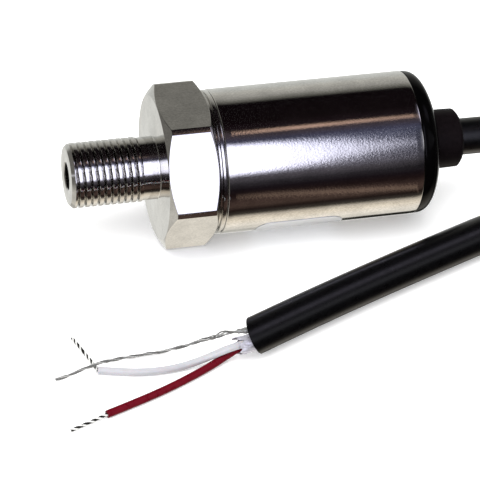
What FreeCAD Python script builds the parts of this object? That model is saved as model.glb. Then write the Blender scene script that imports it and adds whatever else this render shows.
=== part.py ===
"""Two-wire pressure transmitter with an M10x1 port, a 22 mm spanner hex and a fixed shielded cable.

Frame: +X runs along the instrument from the pressure port to the cable, +Z is up.  The instrument lies on
one flat of its hex, and the origin is the middle of that flat.  All sizes are millimetres.
"""
import FreeCAD
import Part
import math
import os

V = FreeCAD.Vector
X_AXIS = V(1, 0, 0)

# ---------------------------------------------------------------- spanner hex, the datum of the part
hex_across_flats = 22.0
hex_length = 7.7
hex_corner_diameter = 24.9        # turned bar: the six corners are cut back to this diameter
hex_face_diameter = 21.75         # where the 30 degree chamfer meets the end faces
hex_chamfer_angle = 30.0
axis_height = hex_across_flats / 2

# ---------------------------------------------------------------- pressure port nose
thread_diameter = 9.8
thread_pitch = 1.0
thread_depth = 0.6
thread_crest_width = 0.16
thread_length = 10.8
nose_plain_diameter = 9.48
nose_plain_length = 2.5
tip_face_diameter = 8.5
tip_chamfer_length = 0.5
inlet_diameter = 4.1
inlet_depth = 7.0
inlet_cone_angle = 59.0           # half angle of the drill point
passage_diameter = 2.0

# ---------------------------------------------------------------- collar and spigot behind the hex
relief_depth = 0.55              # of the groove in front of the collar
relief_length = 0.45
collar_step = 0.07               # the collar is this much lower than the can
collar_length = 0.7
collar_edge = 0.15
spigot_length = 7.0
spigot_wall = 0.85
pocket_clearance = 0.05           # radial, round the measuring cell
pocket_floor_wall = 1.9           # from the middle of the hex to the floor of the cell pocket

# ---------------------------------------------------------------- measuring cell and what seals and holds it
cell_thickness = 6.35
cell_rim_width = 4.5              # of the cell round its recess
cell_recess_depth = 0.2
cell_edge = 0.3
cell_seal_section = 1.5
cell_seal_inset = 2.7             # from the cell's edge to the middle of the seal's section
cell_gap = 1.2                    # squeezed seal height between pocket floor and cell
ring_gap = 0.05
ring_thickness = 1.0
ring_groove_depth = 0.4
ring_width = 1.25                 # that stands out of the groove
ring_mouth = 4.0
pin_count = 4
pin_spacing = 2.0
cell_pin_diameter = 0.5
cell_pin_length = 2.4
cell_pin_edge = 4.2               # from the row of pins to the cell's edge

# ---------------------------------------------------------------- housing can and its liner
can_diameter = 21.84
can_wall = 1.0
can_length = 30.05
can_edge = 0.25
spigot_clearance = 0.02
liner_wall = 0.4
liner_clearance = 0.03
liner_gap = 0.1

# ---------------------------------------------------------------- boards
board_thickness = 1.0
board_clearance = 0.1
board_pitch = 9.0                 # from the front board's rear face to the rear board's front face
spacer_inset = 1.4                # from the cell's edge
spacer_wall = 1.4
spacer_length = 3.4
spacer_pin_slot = 2.0
header_pin_diameter = 0.6
header_pin_spacing = 2.0
header_pin_count = 5
header_edge = 2.4                 # from the row of pins to the board's edge
header_pin_proud = 0.8
spacer_notch_depth = 1.2
ribbon_width_margin = 0.6
ribbon_thickness = 0.15
board_flat_cut = 1.55             # flat on the front board that the ribbon passes over
ribbon_clearance = 0.05
pin_hole_clearance = 0.1

chip_length = 4.9
chip_width = 3.9
chip_height = 1.5
chip_leg_width = 0.4
chip_leg_pitch = 1.27
chip_leg_reach = 1.0
regulator_length = 4.5
regulator_width = 2.5
regulator_height = 1.5
diode_length = 4.3
diode_width = 2.7
diode_height = 2.1
capacitor_diameter = 4.0
capacitor_height = 5.4
small_capacitor_size = (1.6, 0.8, 0.8)
resistor_size = (2.0, 1.25, 0.5)

# places on the boards, across and up, as shares of the board's radius
SIGNAL_CHIP_PLACE = (0.0, -0.107)
REGULATOR_PLACE = (-0.533, 0.107)
DIODE_PLACE = (0.49, 0.128)
CAPACITOR_PLACE = (0.0, 0.575)
CHIP_CAPACITOR_PLACES = [(-0.64, -0.213), (-0.64, 0.0), (0.64, -0.213), (0.64, 0.0)]
RESISTOR_PLACES = [(-0.6, 0.34), (-0.6, 0.064), (0.6, 0.34), (0.6, 0.064), (-0.6, -0.213), (0.6, -0.213)]

# ---------------------------------------------------------------- rear cap, its seal and the cable bushing
plug_length = 4.0
plug_clearance = 0.03
cap_rim_step = 0.07              # the cap's rim is this much lower than the can
cap_rim_length = 2.8
cap_rim_radius = 2.6
cap_wall = 3.3                    # solid wall between the recess and the rear face
cap_seal_section = 1.08
cap_seal_squeeze = 0.02
seal_groove_width = 1.5
seal_groove_offset = 1.1
bushing_wall = 0.9
bushing_flange_width = 1.6       # that stands out round the neck
recess_clearance = 0.15
bushing_flange_length = 1.2
boss_wall = 1.7
boss_length = 5.6
boss_chamfer_length = 0.6
boss_chamfer_height = 0.7
bushing_clearance = 0.05

# ---------------------------------------------------------------- cable and the pieces on it
cable_diameter = 5.6
cable_clearance = 0.05
clamp_length = 2.0
clamp_wall = 0.6
jacket_inside_length = 2.6        # jacket that stands out of the clamp inside the cap
lead_white_diameter = 1.1
lead_red_diameter = 1.14
drain_diameter = 0.62
strand_diameter = 0.56
lead_edge = 1.7                   # from a conductor's middle to the outside of the jacket
jacket_wall = 0.45                # filler drawn back from the cut end leaves the jacket hollow here
jacket_bore_depth = 3.4
shield_diameter = 2.64
shield_wall = 0.1

# the put-away coil: two layers, the upper one turn wide, the lower one and a half
coil_center_x = 108.5
coil_center_y = -8.0
coil_inner_radius = 24.2          # of the innermost turn's centreline
coil_turn_pitch = 5.65
coil_upper_turns = 1.0
coil_lower_turns = 1.49
coil_edge_radius = 2.4
tie_width = 2.6
tie_thickness = 0.8
tie_clearance = 0.05
tie_angles = (100.0, -85.0)

# ---------------------------------------------------------------- label film
label_start = 5.2                 # from the front edge of the can
label_length = 13.3
label_thickness = 0.06
label_from_angle = -28.0          # measured round the axis from -Y towards +Z
label_to_angle = -135.0
label_corner_radius = 2.0

# ---------------------------------------------------------------- stations along X worked out from the sizes
hex_front = -hex_length / 2
hex_rear = hex_length / 2
thread_end = hex_front - nose_plain_length
tip = thread_end - thread_length
collar_front = hex_rear + relief_length
can_front = collar_front + collar_length
can_rear = can_front + can_length
can_bore = can_diameter - 2 * can_wall
collar_diameter = can_diameter - 2 * collar_step
relief_diameter = collar_diameter - 2 * relief_depth
cap_rim_diameter = can_diameter - 2 * cap_rim_step
spigot_diameter = can_bore - 2 * spigot_clearance
spigot_rear = can_front + spigot_length
pocket_diameter = spigot_diameter - 2 * spigot_wall
cell_diameter = pocket_diameter - 2 * pocket_clearance
ring_bore_diameter = pocket_diameter - 2 * ring_width
spacer_diameter = cell_diameter - 2 * spacer_inset
spacer_bore_diameter = spacer_diameter - 2 * spacer_wall
pocket_floor = pocket_floor_wall
cell_front = pocket_floor + cell_gap
cell_rear = cell_front + cell_thickness
cell_seal_diameter = cell_diameter - 2 * cell_seal_inset
cell_recess_diameter = cell_diameter - 2 * cell_rim_width
cell_pin_offset = cell_diameter / 2 - cell_pin_edge
ring_front = cell_rear + ring_gap
ring_rear = ring_front + ring_thickness
ring_outer_diameter = pocket_diameter + 2 * (ring_groove_depth - pocket_clearance)
front_board_front = cell_rear + spacer_length
front_board_rear = front_board_front + board_thickness
rear_board_front = front_board_rear + board_pitch
rear_board_rear = rear_board_front + board_thickness
plug_front = can_rear - plug_length
plug_diameter = can_bore - 2 * plug_clearance
liner_front = spigot_rear + liner_gap
liner_rear = plug_front - liner_gap
liner_outer_diameter = can_bore - 2 * liner_clearance
liner_bore = liner_outer_diameter - 2 * liner_wall
board_diameter = liner_bore - 2 * board_clearance
board_radius = board_diameter / 2
lead_offset = cable_diameter / 2 - lead_edge
header_pin_offset = board_radius - header_edge
board_flat_height = board_radius - board_flat_cut
cap_rear = can_rear + cap_rim_length
cap_recess_end = cap_rear - cap_wall
flange_front = cap_recess_end - bushing_flange_length
boss_rear = cap_rear + boss_length
clamp_front = flange_front - clamp_length
jacket_front = clamp_front - jacket_inside_length
cable_radius = cable_diameter / 2
bushing_neck_diameter = cable_diameter + 2 * bushing_wall
bushing_flange_diameter = bushing_neck_diameter + 2 * bushing_flange_width
boss_diameter = cable_diameter + 2 * boss_wall
cap_recess_diameter = bushing_flange_diameter + 2 * recess_clearance
jacket_bore_diameter = cable_diameter - 2 * jacket_wall

# cable routes: points in order along the cable, from the instrument's end
first_run = clamp_length + bushing_flange_length + 3.2
LEAD_OUT_ROUTE = [
    (jacket_front, 0.0, axis_height),
    (jacket_front + first_run, 0.0, axis_height - 0.002),
    (boss_rear + 3.15, 0.0, axis_height - 0.015),
    (56.4, 0.1, 10.7),
    (65.2, 0.5, 10.15),
    (71.9, 1.9, 9.5),
    (78.05, 4.6, 8.9),
    (83.4, 8.6, 8.55),
    (87.8, 13.75, 1.5 * cable_diameter),
]
LEAD_BACK_ROUTE = [
    (83.2, -28.9, cable_radius),
    (79.3, -22.95, cable_radius),
    (74.1, -18.05, cable_radius),
    (67.95, -14.4, cable_radius),
    (61.1, -12.3, cable_radius),
    (54.0, -11.75, cable_radius),
    (46.9, -12.85, cable_radius),
    (39.0, -16.06, cable_radius),
    (30.0, -19.75, cable_radius),
    (21.0, -23.58, cable_radius),
    (11.8, -27.67, cable_radius),
    (2.9, -31.83, cable_radius),
]
BACK_START_SHARE = 0.62                  # the tube starts this far along its route's second run
CUT_CENTER = (4.53, -31.07, cable_radius)
CUT_NORMAL = (-0.937, -0.017, -0.350)    # the jacket is cut a little askew
SHIELD_AXIS = [(5.92, -31.33, 2.3), (1.95, -32.22, 2.1)]
WHITE_ROUTE = [
    (7.12, -31.33, 2.83),
    (4.5, -31.92, 2.72),
    (1.99, -32.48, 2.57),
    (-0.11, -32.76, 2.25),
    (-2.49, -33.0, 1.47),
    (-5.02, -33.28, 0.85),
    (-7.74, -33.65, 0.57),
    (-11.13, -33.78, 0.56),
    (-14.53, -33.3, 0.56),
    (-18.66, -32.15, 0.56),
]
WHITE_STRANDS_ROUTE = [
    (-18.66, -32.15, 0.56),
    (-19.09, -29.98, 0.35),
    (-19.61, -28.24, 0.29),
    (-20.13, -26.47, 0.29),
    (-20.85, -24.2, 0.29),
]
RED_ROUTE = [
    (7.05, -30.81, 1.82),
    (4.4, -31.4, 1.7),
    (1.92, -31.98, 1.54),
    (0.0, -32.65, 0.93),
    (-2.5, -34.07, 0.66),
    (-5.57, -35.71, 0.59),
    (-9.19, -37.53, 0.58),
    (-12.88, -39.13, 0.58),
    (-16.19, -40.42, 0.58),
    (-19.31, -41.61, 0.58),
]
RED_STRANDS_ROUTE = [
    (-19.31, -41.61, 0.58),
    (-20.98, -42.15, 0.33),
    (-22.84, -42.89, 0.29),
    (-24.85, -43.7, 0.29),
]
DRAIN_ROUTE = [
    (7.0, -30.0, 3.6),
    (4.2, -30.65, 3.55),
    (2.2, -30.2, 3.25),
    (0.3, -29.7, 2.7),
    (-1.84, -29.51, 1.9),
    (-4.6, -29.46, 1.1),
    (-7.84, -29.5, 0.5),
    (-11.48, -29.68, 0.32),
    (-15.02, -30.1, 0.55),
    (-17.74, -31.1, 1.15),
    (-19.84, -31.95, 1.3),
    (-21.4, -32.16, 0.8),
    (-22.9, -32.31, 0.37),
    (-24.93, -32.75, 0.32),
]


# ================================================================ helpers
def at_axis(x, across=0.0, up=0.0):
    """A point at station x, across along +Y and up from the instrument's own axis."""
    return V(x, across, axis_height + up)


def revolve_profile(points):
    """Solid of revolution about the instrument's axis from (x, radius) points, closed along the axis side."""
    corners = [at_axis(x, 0, r) for x, r in points]
    wire = Part.makePolygon(corners + [corners[0]])
    return Part.Face(wire).revolve(at_axis(0), X_AXIS, 360)


def cylinder(x0, x1, diameter, across=0.0, up=0.0):
    return Part.makeCylinder(diameter / 2, x1 - x0, at_axis(x0, across, up), X_AXIS)


def tube(x0, x1, outer, inner):
    return cylinder(x0, x1, outer).cut(cylinder(x0 - 1, x1 + 1, inner))


def box(x0, x1, width, height, across=0.0, up=0.0):
    return Part.makeBox(x1 - x0, width, height, at_axis(x0, across - width / 2, up - height / 2))


def hex_prism(x0, x1):
    corner_radius = hex_across_flats / math.sqrt(3)
    corners = []
    for k in range(6):
        angle = math.radians(60 * k)
        corners.append(at_axis(x0, corner_radius * math.cos(angle), corner_radius * math.sin(angle)))
    return Part.Face(Part.makePolygon(corners + [corners[0]])).extrude(V(x1 - x0, 0, 0))


def rounded_path(points, share=0.45):
    """Straight runs joined by tangent arcs.  Each arc's radius is share * shorter run / tan(half the turn)."""
    corners = [V(*p) for p in points]
    edges = []
    radii = []
    start = corners[0]
    for before, corner, after in zip(corners, corners[1:], corners[2:]):
        run_in = (corner - before).normalize()
        run_out = (after - corner).normalize()
        half_turn = run_in.getAngle(run_out) / 2
        trim = share * min((corner - before).Length, (after - corner).Length)
        radii.append(trim / math.tan(half_turn))
        arc_start = corner - run_in * trim
        arc_end = corner + run_out * trim
        bisector = (run_out - run_in).normalize()
        sagitta = radii[-1] / math.cos(half_turn) - radii[-1]
        edges.append(Part.LineSegment(start, arc_start).toShape())
        edges.append(Part.Arc(arc_start, corner + bisector * sagitta, arc_end).toShape())
        start = arc_end
    edges.append(Part.LineSegment(start, corners[-1]).toShape())
    return Part.Wire(edges), radii


def cord_tube(name, points, diameter):
    """Round tube along a rounded path.  It prints the path's length, its radii and its volume check."""
    path, radii = rounded_path(points)
    first = V(*points[1]) - V(*points[0])
    section = Part.Wire(Part.makeCircle(diameter / 2, V(*points[0]), first))
    solid = path.makePipeShell([section], True, True)
    if solid.Volume < 0:
        solid.reverse()
    ideal = math.pi * diameter ** 2 / 4 * path.Length
    shown = " ".join(f"{r:.0f}" for r in radii)
    print(f"{name}: length {path.Length:.1f}, radii {shown}, least {min(radii) / diameter:.1f} diameters, "
          f"volume {solid.Volume / ideal:.4f} of section times length, valid {solid.isValid()}")
    return solid


def save(name, shape):
    shape = shape.removeSplitter() if len(shape.Solids) == 1 else shape
    shape.exportStep(f"parts/{name}.step")
    box_ = shape.BoundBox
    print(f"{name}: {len(shape.Solids)} solid(s), volume {shape.Volume:.2f}, "
          f"x {box_.XMin:.2f}..{box_.XMax:.2f}, y {box_.YMin:.2f}..{box_.YMax:.2f}, z {box_.ZMin:.2f}..{box_.ZMax:.2f}")


# ================================================================ wetted end
def thread_profile():
    """(x, radius) points of the nose from tip face to hex, with one ring groove for each thread pitch."""
    crest = thread_diameter / 2
    root = crest - thread_depth
    flank = (thread_pitch - thread_crest_width) / 2
    points = [(tip, tip_face_diameter / 2), (tip + tip_chamfer_length, crest)]
    station = tip + tip_chamfer_length + thread_crest_width
    while station + thread_pitch - thread_crest_width < thread_end:
        points.append((station, crest))
        points.append((station + flank, root))
        points.append((station + 2 * flank, crest))
        station += thread_pitch
    points.append((thread_end, crest))
    points.append((thread_end, nose_plain_diameter / 2))
    points.append((hex_front, nose_plain_diameter / 2))
    return points


def hex_chamfer_cutter(x_face, outward):
    """Solid to cut away outside the 30 degree cone that starts on the hex's end face."""
    slope = math.tan(math.radians(hex_chamfer_angle))
    r0 = hex_face_diameter / 2
    r1 = r0 + hex_across_flats / 4
    depth = (r1 - r0) * slope
    return revolve_profile([(x_face, r0), (x_face - outward * depth, r1), (x_face + outward, r1),
                            (x_face + outward, r0)])


def inlet_bore():
    cone = (inlet_diameter - passage_diameter) / 2 / math.tan(math.radians(inlet_cone_angle))
    end = tip + inlet_depth
    return revolve_profile([(tip - 1, 0), (tip - 1, inlet_diameter / 2), (end, inlet_diameter / 2),
                            (end + cone, passage_diameter / 2), (pocket_floor + 0.1, passage_diameter / 2),
                            (pocket_floor + 0.1, 0)])


def make_pressure_port():
    spanner = hex_prism(hex_front, hex_rear).common(cylinder(hex_front, hex_rear, hex_corner_diameter))
    spanner = spanner.cut(hex_chamfer_cutter(hex_front, -1)).cut(hex_chamfer_cutter(hex_rear, 1))
    nose = revolve_profile(thread_profile() + [(hex_front, 0), (tip, 0)])
    collar = collar_diameter / 2
    spigot = spigot_diameter / 2
    rear = revolve_profile([(hex_rear, 0), (hex_rear, relief_diameter / 2), (collar_front, relief_diameter / 2),
                            (collar_front, collar - collar_edge), (collar_front + collar_edge, collar),
                            (can_front - collar_edge, collar), (can_front, collar - collar_edge),
                            (can_front, spigot), (spigot_rear, spigot), (spigot_rear, 0)])
    body = spanner.fuse([nose, rear])
    pocket = cylinder(pocket_floor, spigot_rear + 1, pocket_diameter)
    groove = cylinder(ring_front, ring_rear, ring_outer_diameter)
    return body.cut(pocket).cut(groove).cut(inlet_bore())


def make_cell_seal():
    """O-ring squeezed between the pocket floor and the measuring cell."""
    ring = Part.makeTorus(cell_seal_diameter / 2, cell_seal_section / 2,
                          at_axis(pocket_floor + cell_gap / 2), X_AXIS)
    return ring.common(tube(pocket_floor, cell_front, cell_diameter, passage_diameter))


def cell_pin_places():
    first = -(pin_count - 1) / 2
    return [((first + k) * pin_spacing, cell_pin_offset) for k in range(pin_count)]


def make_sensor_cell():
    """Ceramic cell: a thick disc with a shallow round recess, whose thin floor is the diaphragm."""
    edge = cell_edge
    radius = cell_diameter / 2
    disc = revolve_profile([(cell_front, 0), (cell_front, radius - edge), (cell_front + edge, radius),
                            (cell_rear - edge, radius), (cell_rear, radius - edge), (cell_rear, 0)])
    return disc.cut(cylinder(cell_front - 1, cell_front + cell_recess_depth, cell_recess_diameter))


def make_cell_pins():
    return Part.makeCompound([cylinder(cell_rear, cell_rear + cell_pin_length, cell_pin_diameter, across, up)
                              for across, up in cell_pin_places()])


def make_retaining_ring():
    """Split spring ring in the groove of the spigot, with its mouth at the bottom."""
    ring = tube(ring_front, ring_rear, ring_outer_diameter - 2 * pocket_clearance, ring_bore_diameter)
    mouth = box(ring_front - 1, ring_rear + 1, ring_mouth, ring_outer_diameter, 0, -ring_outer_diameter / 2)
    return ring.cut(mouth)


def make_spacer_ring():
    """Moulded ring that stands on the cell and carries the front board, open at the top for the cell's pins."""
    ring = tube(cell_rear, front_board_front, spacer_diameter, spacer_bore_diameter)
    slot_width = (pin_count - 1) * pin_spacing + spacer_pin_slot
    slot = box(cell_rear - 1, front_board_front - 0.8, slot_width, spacer_diameter, 0, spacer_diameter / 2)
    notch_width = header_pin_count * header_pin_spacing
    notch = box(front_board_front - spacer_notch_depth, front_board_front + 1, notch_width, spacer_diameter,
                0, -spacer_diameter / 2 - spacer_bore_diameter / 4)
    return ring.cut(slot).cut(notch)


# ================================================================ electronics
def header_places():
    first = -(header_pin_count - 1) / 2
    return [((first + k) * header_pin_spacing, -header_pin_offset) for k in range(header_pin_count)]


def lead_hole_places():
    """Where the three cable leads are soldered through the rear board: across, up and wire diameter."""
    return {
        "white": (-lead_offset - 0.5, -0.4, lead_white_diameter),
        "red": (lead_offset + 0.4, -0.5, lead_red_diameter),
        "drain": (0.1, 1.4, drain_diameter),
    }


def drill(board, x0, x1, places, diameter):
    for across, up in places:
        board = board.cut(cylinder(x0 - 1, x1 + 1, diameter, across, up))
    return board


def make_front_board():
    board = cylinder(front_board_front, front_board_rear, board_diameter)
    board = drill(board, front_board_front, front_board_rear, header_places(),
                  header_pin_diameter + 2 * pin_hole_clearance)
    flat = box(front_board_front - 1, front_board_rear + 1, board_diameter, board_diameter,
               0, board_flat_height + board_diameter / 2)
    return board.cut(flat)


def make_rear_board():
    board = cylinder(rear_board_front, rear_board_rear, board_diameter)
    return drill(board, rear_board_front, rear_board_rear, header_places(),
                 header_pin_diameter + 2 * pin_hole_clearance)


def make_header_pins():
    pins = []
    for across, up in header_places():
        pins.append(cylinder(front_board_front - header_pin_proud, rear_board_rear + header_pin_proud,
                             header_pin_diameter, across, up))
    return Part.makeCompound(pins)


def make_header_strip():
    """Moulded strip that spaces the two boards and carries the header pins."""
    width = header_pin_count * header_pin_spacing
    strip = box(front_board_rear, rear_board_front, width, header_pin_spacing, 0, -header_pin_offset)
    return drill(strip, front_board_rear, rear_board_front, header_places(), header_pin_diameter)


def make_sensor_ribbon():
    """Flat flexible strip from the cell's pins over the top of the front board to its rear face."""
    inner = cell_rear + cell_pin_length
    width = (pin_count - 1) * pin_spacing + 2 * ribbon_width_margin
    thickness = ribbon_thickness
    top = board_flat_height + ribbon_clearance
    low = cell_pin_offset - 1.0
    rear = front_board_rear
    section = [(inner, low), (inner + thickness, low), (inner + thickness, top), (rear, top),
               (rear, low + 1.2), (rear + thickness, low + 1.2), (rear + thickness, top + thickness),
               (inner, top + thickness)]
    corners = [at_axis(x, -width / 2, up) for x, up in section]
    return Part.Face(Part.makePolygon(corners + [corners[0]])).extrude(V(0, width, 0))


def on_board(place):
    """Across and up, in millimetres, of a place given as shares of the board's radius."""
    return place[0] * board_radius, place[1] * board_radius


def make_signal_chip():
    """Small-outline amplifier and transmitter chip with four gull-wing legs a side, on the front board."""
    x0 = front_board_rear
    stand_off = 0.1
    middle, height = on_board(SIGNAL_CHIP_PLACE)
    body = box(x0 + stand_off, x0 + chip_height, chip_length, chip_width, middle, height)
    legs = []
    for side in (-1, 1):
        for k in range(4):
            across = middle + (k - 1.5) * chip_leg_pitch
            out = height + side * (chip_width / 2 + chip_leg_reach / 2)
            root = height + side * (chip_width / 2 + 0.1)
            legs.append(box(x0, x0 + 0.2, chip_leg_width, chip_leg_reach, across, out))
            legs.append(box(x0, x0 + chip_height / 2, chip_leg_width, 0.2, across, root))
    return body.fuse(legs)


def make_voltage_regulator():
    """Regulator in a small power package with a tab and three legs, on the rear board's front face."""
    x1 = rear_board_front
    middle, height = on_board(REGULATOR_PLACE)
    side = regulator_width / 2 + 0.5
    body = box(x1 - regulator_height, x1, regulator_width, regulator_length, middle, height)
    tab = box(x1 - 0.4, x1, 1.0, 1.8, middle - side, height)
    legs = [box(x1 - 0.4, x1, 1.0, 0.45, middle + side, height + k * 1.5) for k in (-1, 0, 1)]
    return body.fuse([tab] + legs)


def make_protection_diode():
    x1 = rear_board_front
    middle, height = on_board(DIODE_PLACE)
    reach = diode_length / 2 + 0.2
    body = box(x1 - diode_height, x1 - 0.1, diode_width, diode_length, middle, height)
    feet = [box(x1 - 0.3, x1, 1.4, 0.8, middle, height + side * reach) for side in (-1, 1)]
    return body.fuse(feet)


def make_filter_capacitor():
    """Wet-electrolyte can on a square base, on the rear board's front face."""
    x1 = rear_board_front
    middle, height = on_board(CAPACITOR_PLACE)
    side = capacitor_diameter + 0.3
    can = cylinder(x1 - capacitor_height, x1 - 0.6, capacitor_diameter, middle, height)
    base = box(x1 - 0.8, x1, side, side, middle, height)
    return can.fuse(base)


def chips_on_board(x0, size, places):
    length, width, height = size
    chips = [box(x0, x0 + height, length, width, *on_board(place)) for place in places]
    return Part.makeCompound(chips)


def make_chip_capacitors():
    return chips_on_board(front_board_rear, small_capacitor_size, CHIP_CAPACITOR_PLACES)


def make_chip_resistors():
    return chips_on_board(rear_board_rear, resistor_size, RESISTOR_PLACES)


def make_inner_lead(name):
    """Lead from the jacket's inner end, bent to its hole in the rear board and soldered on its face."""
    across, up, diameter = lead_hole_places()[name]
    inside = {"white": (-lead_offset, 0.0), "red": (lead_offset, 0.0), "drain": (0.0, 1.9)}[name]
    span = jacket_front - rear_board_rear
    points = [
        (jacket_front, inside[0], axis_height + inside[1]),
        (jacket_front - span * 0.33, inside[0], axis_height + inside[1]),
        (rear_board_rear + span * 0.33, across, axis_height + up),
        (rear_board_rear, across, axis_height + up),
    ]
    return cord_tube(f"inner {name} lead", points, diameter)


# ================================================================ housing
def make_liner():
    return tube(liner_front, liner_rear, liner_outer_diameter, liner_bore)


def make_housing_can():
    outer = can_diameter / 2
    inner = can_bore / 2
    return revolve_profile([(can_front, inner), (can_front, outer - can_edge), (can_front + can_edge, outer),
                            (can_rear - can_edge, outer), (can_rear, outer - can_edge), (can_rear, inner)])


def make_label():
    """Blank film wrapped round the underside of the can, with rounded corners."""
    r0 = can_diameter / 2
    r1 = r0 + label_thickness
    x0 = can_front + label_start
    x1 = x0 + label_length
    sweep = label_from_angle - label_to_angle
    ring = tube(x0, x1, 2 * r1, 2 * r0)
    # a wedge from the lower to the upper edge, measured from -Y towards +Z
    reach = 2 * r1
    steps = 8
    corners = [at_axis(x0 - 1)]
    for k in range(steps + 1):
        angle = math.radians(label_to_angle + sweep * k / steps)
        corners.append(at_axis(x0 - 1, -reach * math.cos(angle), reach * math.sin(angle)))
    wedge = Part.Face(Part.makePolygon(corners + [corners[0]])).extrude(V(label_length + 2, 0, 0))
    film = ring.common(wedge)
    for corner_x, inward in ((x0, 1), (x1, -1)):
        for edge_angle, turn in ((label_from_angle, -1), (label_to_angle, 1)):
            film = film.cut(label_corner(corner_x, inward, edge_angle, turn))
    return film


def label_corner(corner_x, inward, edge_angle, turn):
    """What a rounded corner leaves out: a small square prism less a round one, pointing out of the can."""
    radius = can_diameter / 2
    corner = label_corner_radius
    middle_angle = math.radians(edge_angle) + turn * corner / radius
    outward = V(0, -math.cos(middle_angle), math.sin(middle_angle))
    along = V(0, math.sin(middle_angle), math.cos(middle_angle)) * turn
    middle = at_axis(corner_x + inward * corner) + outward * (radius - 1)
    a = middle
    b = middle - X_AXIS * (inward * 1.2 * corner)
    c = b - along * 1.2 * corner
    d = middle - along * 1.2 * corner
    square = Part.Face(Part.makePolygon([a, b, c, d, a])).extrude(outward * 3)
    return square.cut(Part.makeCylinder(corner, 3, middle, outward))


def make_cap_seal():
    section = cap_seal_section / 2
    middle = can_bore / 2 - section - cap_seal_squeeze
    x = plug_front + seal_groove_offset + seal_groove_width / 2
    return Part.makeTorus(middle, section, at_axis(x), X_AXIS)


def make_rear_cap():
    """Moulded cap: a plug with a seal groove, a rim with a round rear edge, a hole and recess for the bushing."""
    rim = cap_rim_diameter / 2
    plug = plug_diameter / 2
    groove_floor = can_bore / 2 - cap_seal_section - 2 * cap_seal_squeeze
    g0 = plug_front + seal_groove_offset
    g1 = g0 + seal_groove_width
    body = revolve_profile([(plug_front, 0), (plug_front, plug - 0.3), (plug_front + 0.3, plug), (g0, plug),
                            (g0, groove_floor), (g1, groove_floor), (g1, plug), (can_rear, plug),
                            (can_rear, rim), (cap_rear, rim), (cap_rear, 0)])
    rear_edge = [e for e in body.Edges if abs(e.BoundBox.XMin - cap_rear) < 1e-3
                 and abs(e.BoundBox.XMax - cap_rear) < 1e-3 and e.Length > math.pi * rim]
    body = body.makeFillet(cap_rim_radius, rear_edge)
    recess = cylinder(plug_front - 1, cap_recess_end, cap_recess_diameter)
    hole = cylinder(cap_recess_end - 1, cap_rear + 1, bushing_neck_diameter + 2 * bushing_clearance)
    return body.cut(recess).cut(hole)


def make_cable_bushing():
    """Rubber bushing: inner flange, neck through the cap and the outer boss round the cable."""
    boss = boss_diameter / 2
    neck = bushing_neck_diameter / 2
    flange = bushing_flange_diameter / 2
    body = revolve_profile([(flange_front, 0), (flange_front, flange), (cap_recess_end, flange),
                            (cap_recess_end, neck), (cap_rear, neck), (cap_rear, boss),
                            (boss_rear - boss_chamfer_length, boss), (boss_rear, boss - boss_chamfer_height),
                            (boss_rear, 0)])
    return body.cut(cylinder(flange_front - 1, boss_rear + 1, cable_diameter + 2 * cable_clearance))


def make_cable_clamp():
    """Crimped sleeve on the jacket, against the bushing's inner flange."""
    inner = cable_diameter + 2 * cable_clearance
    return tube(clamp_front, flange_front, inner + 2 * clamp_wall, inner)


# ================================================================ cable
def coil_radii():
    upper = coil_inner_radius + coil_upper_turns * coil_turn_pitch
    lower = coil_inner_radius + coil_lower_turns * coil_turn_pitch
    return upper, lower


def rounded_corner(corner, before, after, radius):
    """Three points that stand for a quarter round at a square corner of the coil's profile."""
    def towards(point):
        step = math.hypot(point[0] - corner[0], point[1] - corner[1])
        return (point[0] - corner[0]) / step, (point[1] - corner[1]) / step

    (ax, az), (bx, bz) = towards(before), towards(after)
    middle = radius * (1 - math.sqrt(0.5))
    return [(corner[0] + ax * radius, corner[1] + az * radius),
            (corner[0] + (ax + bx) * middle, corner[1] + (az + bz) * middle),
            (corner[0] + bx * radius, corner[1] + bz * radius)]


def make_cable_coil():
    """Outer shape of the tied coil: a low ring with rounded edges, its upper layer narrower than its lower."""
    upper, lower = coil_radii()
    inner = coil_inner_radius - cable_radius
    outline = [(inner, 0), (lower + cable_radius, 0), (lower + cable_radius, cable_diameter),
               (upper + cable_radius, cable_diameter), (upper + cable_radius, 2 * cable_diameter),
               (inner, 2 * cable_diameter)]
    profile = []
    for k, corner in enumerate(outline):
        if k == 3:
            profile.append(corner)
        else:
            profile += rounded_corner(corner, outline[k - 1], outline[(k + 1) % len(outline)], coil_edge_radius)
    corners = [V(coil_center_x + r, coil_center_y, z) for r, z in profile]
    middle = V(coil_center_x, coil_center_y, 0)
    ring = Part.Face(Part.makePolygon(corners + [corners[0]])).revolve(middle, V(0, 0, 1), 360)
    for tie in make_ties(tie_clearance):
        ring = ring.cut(tie)
    return ring


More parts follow.
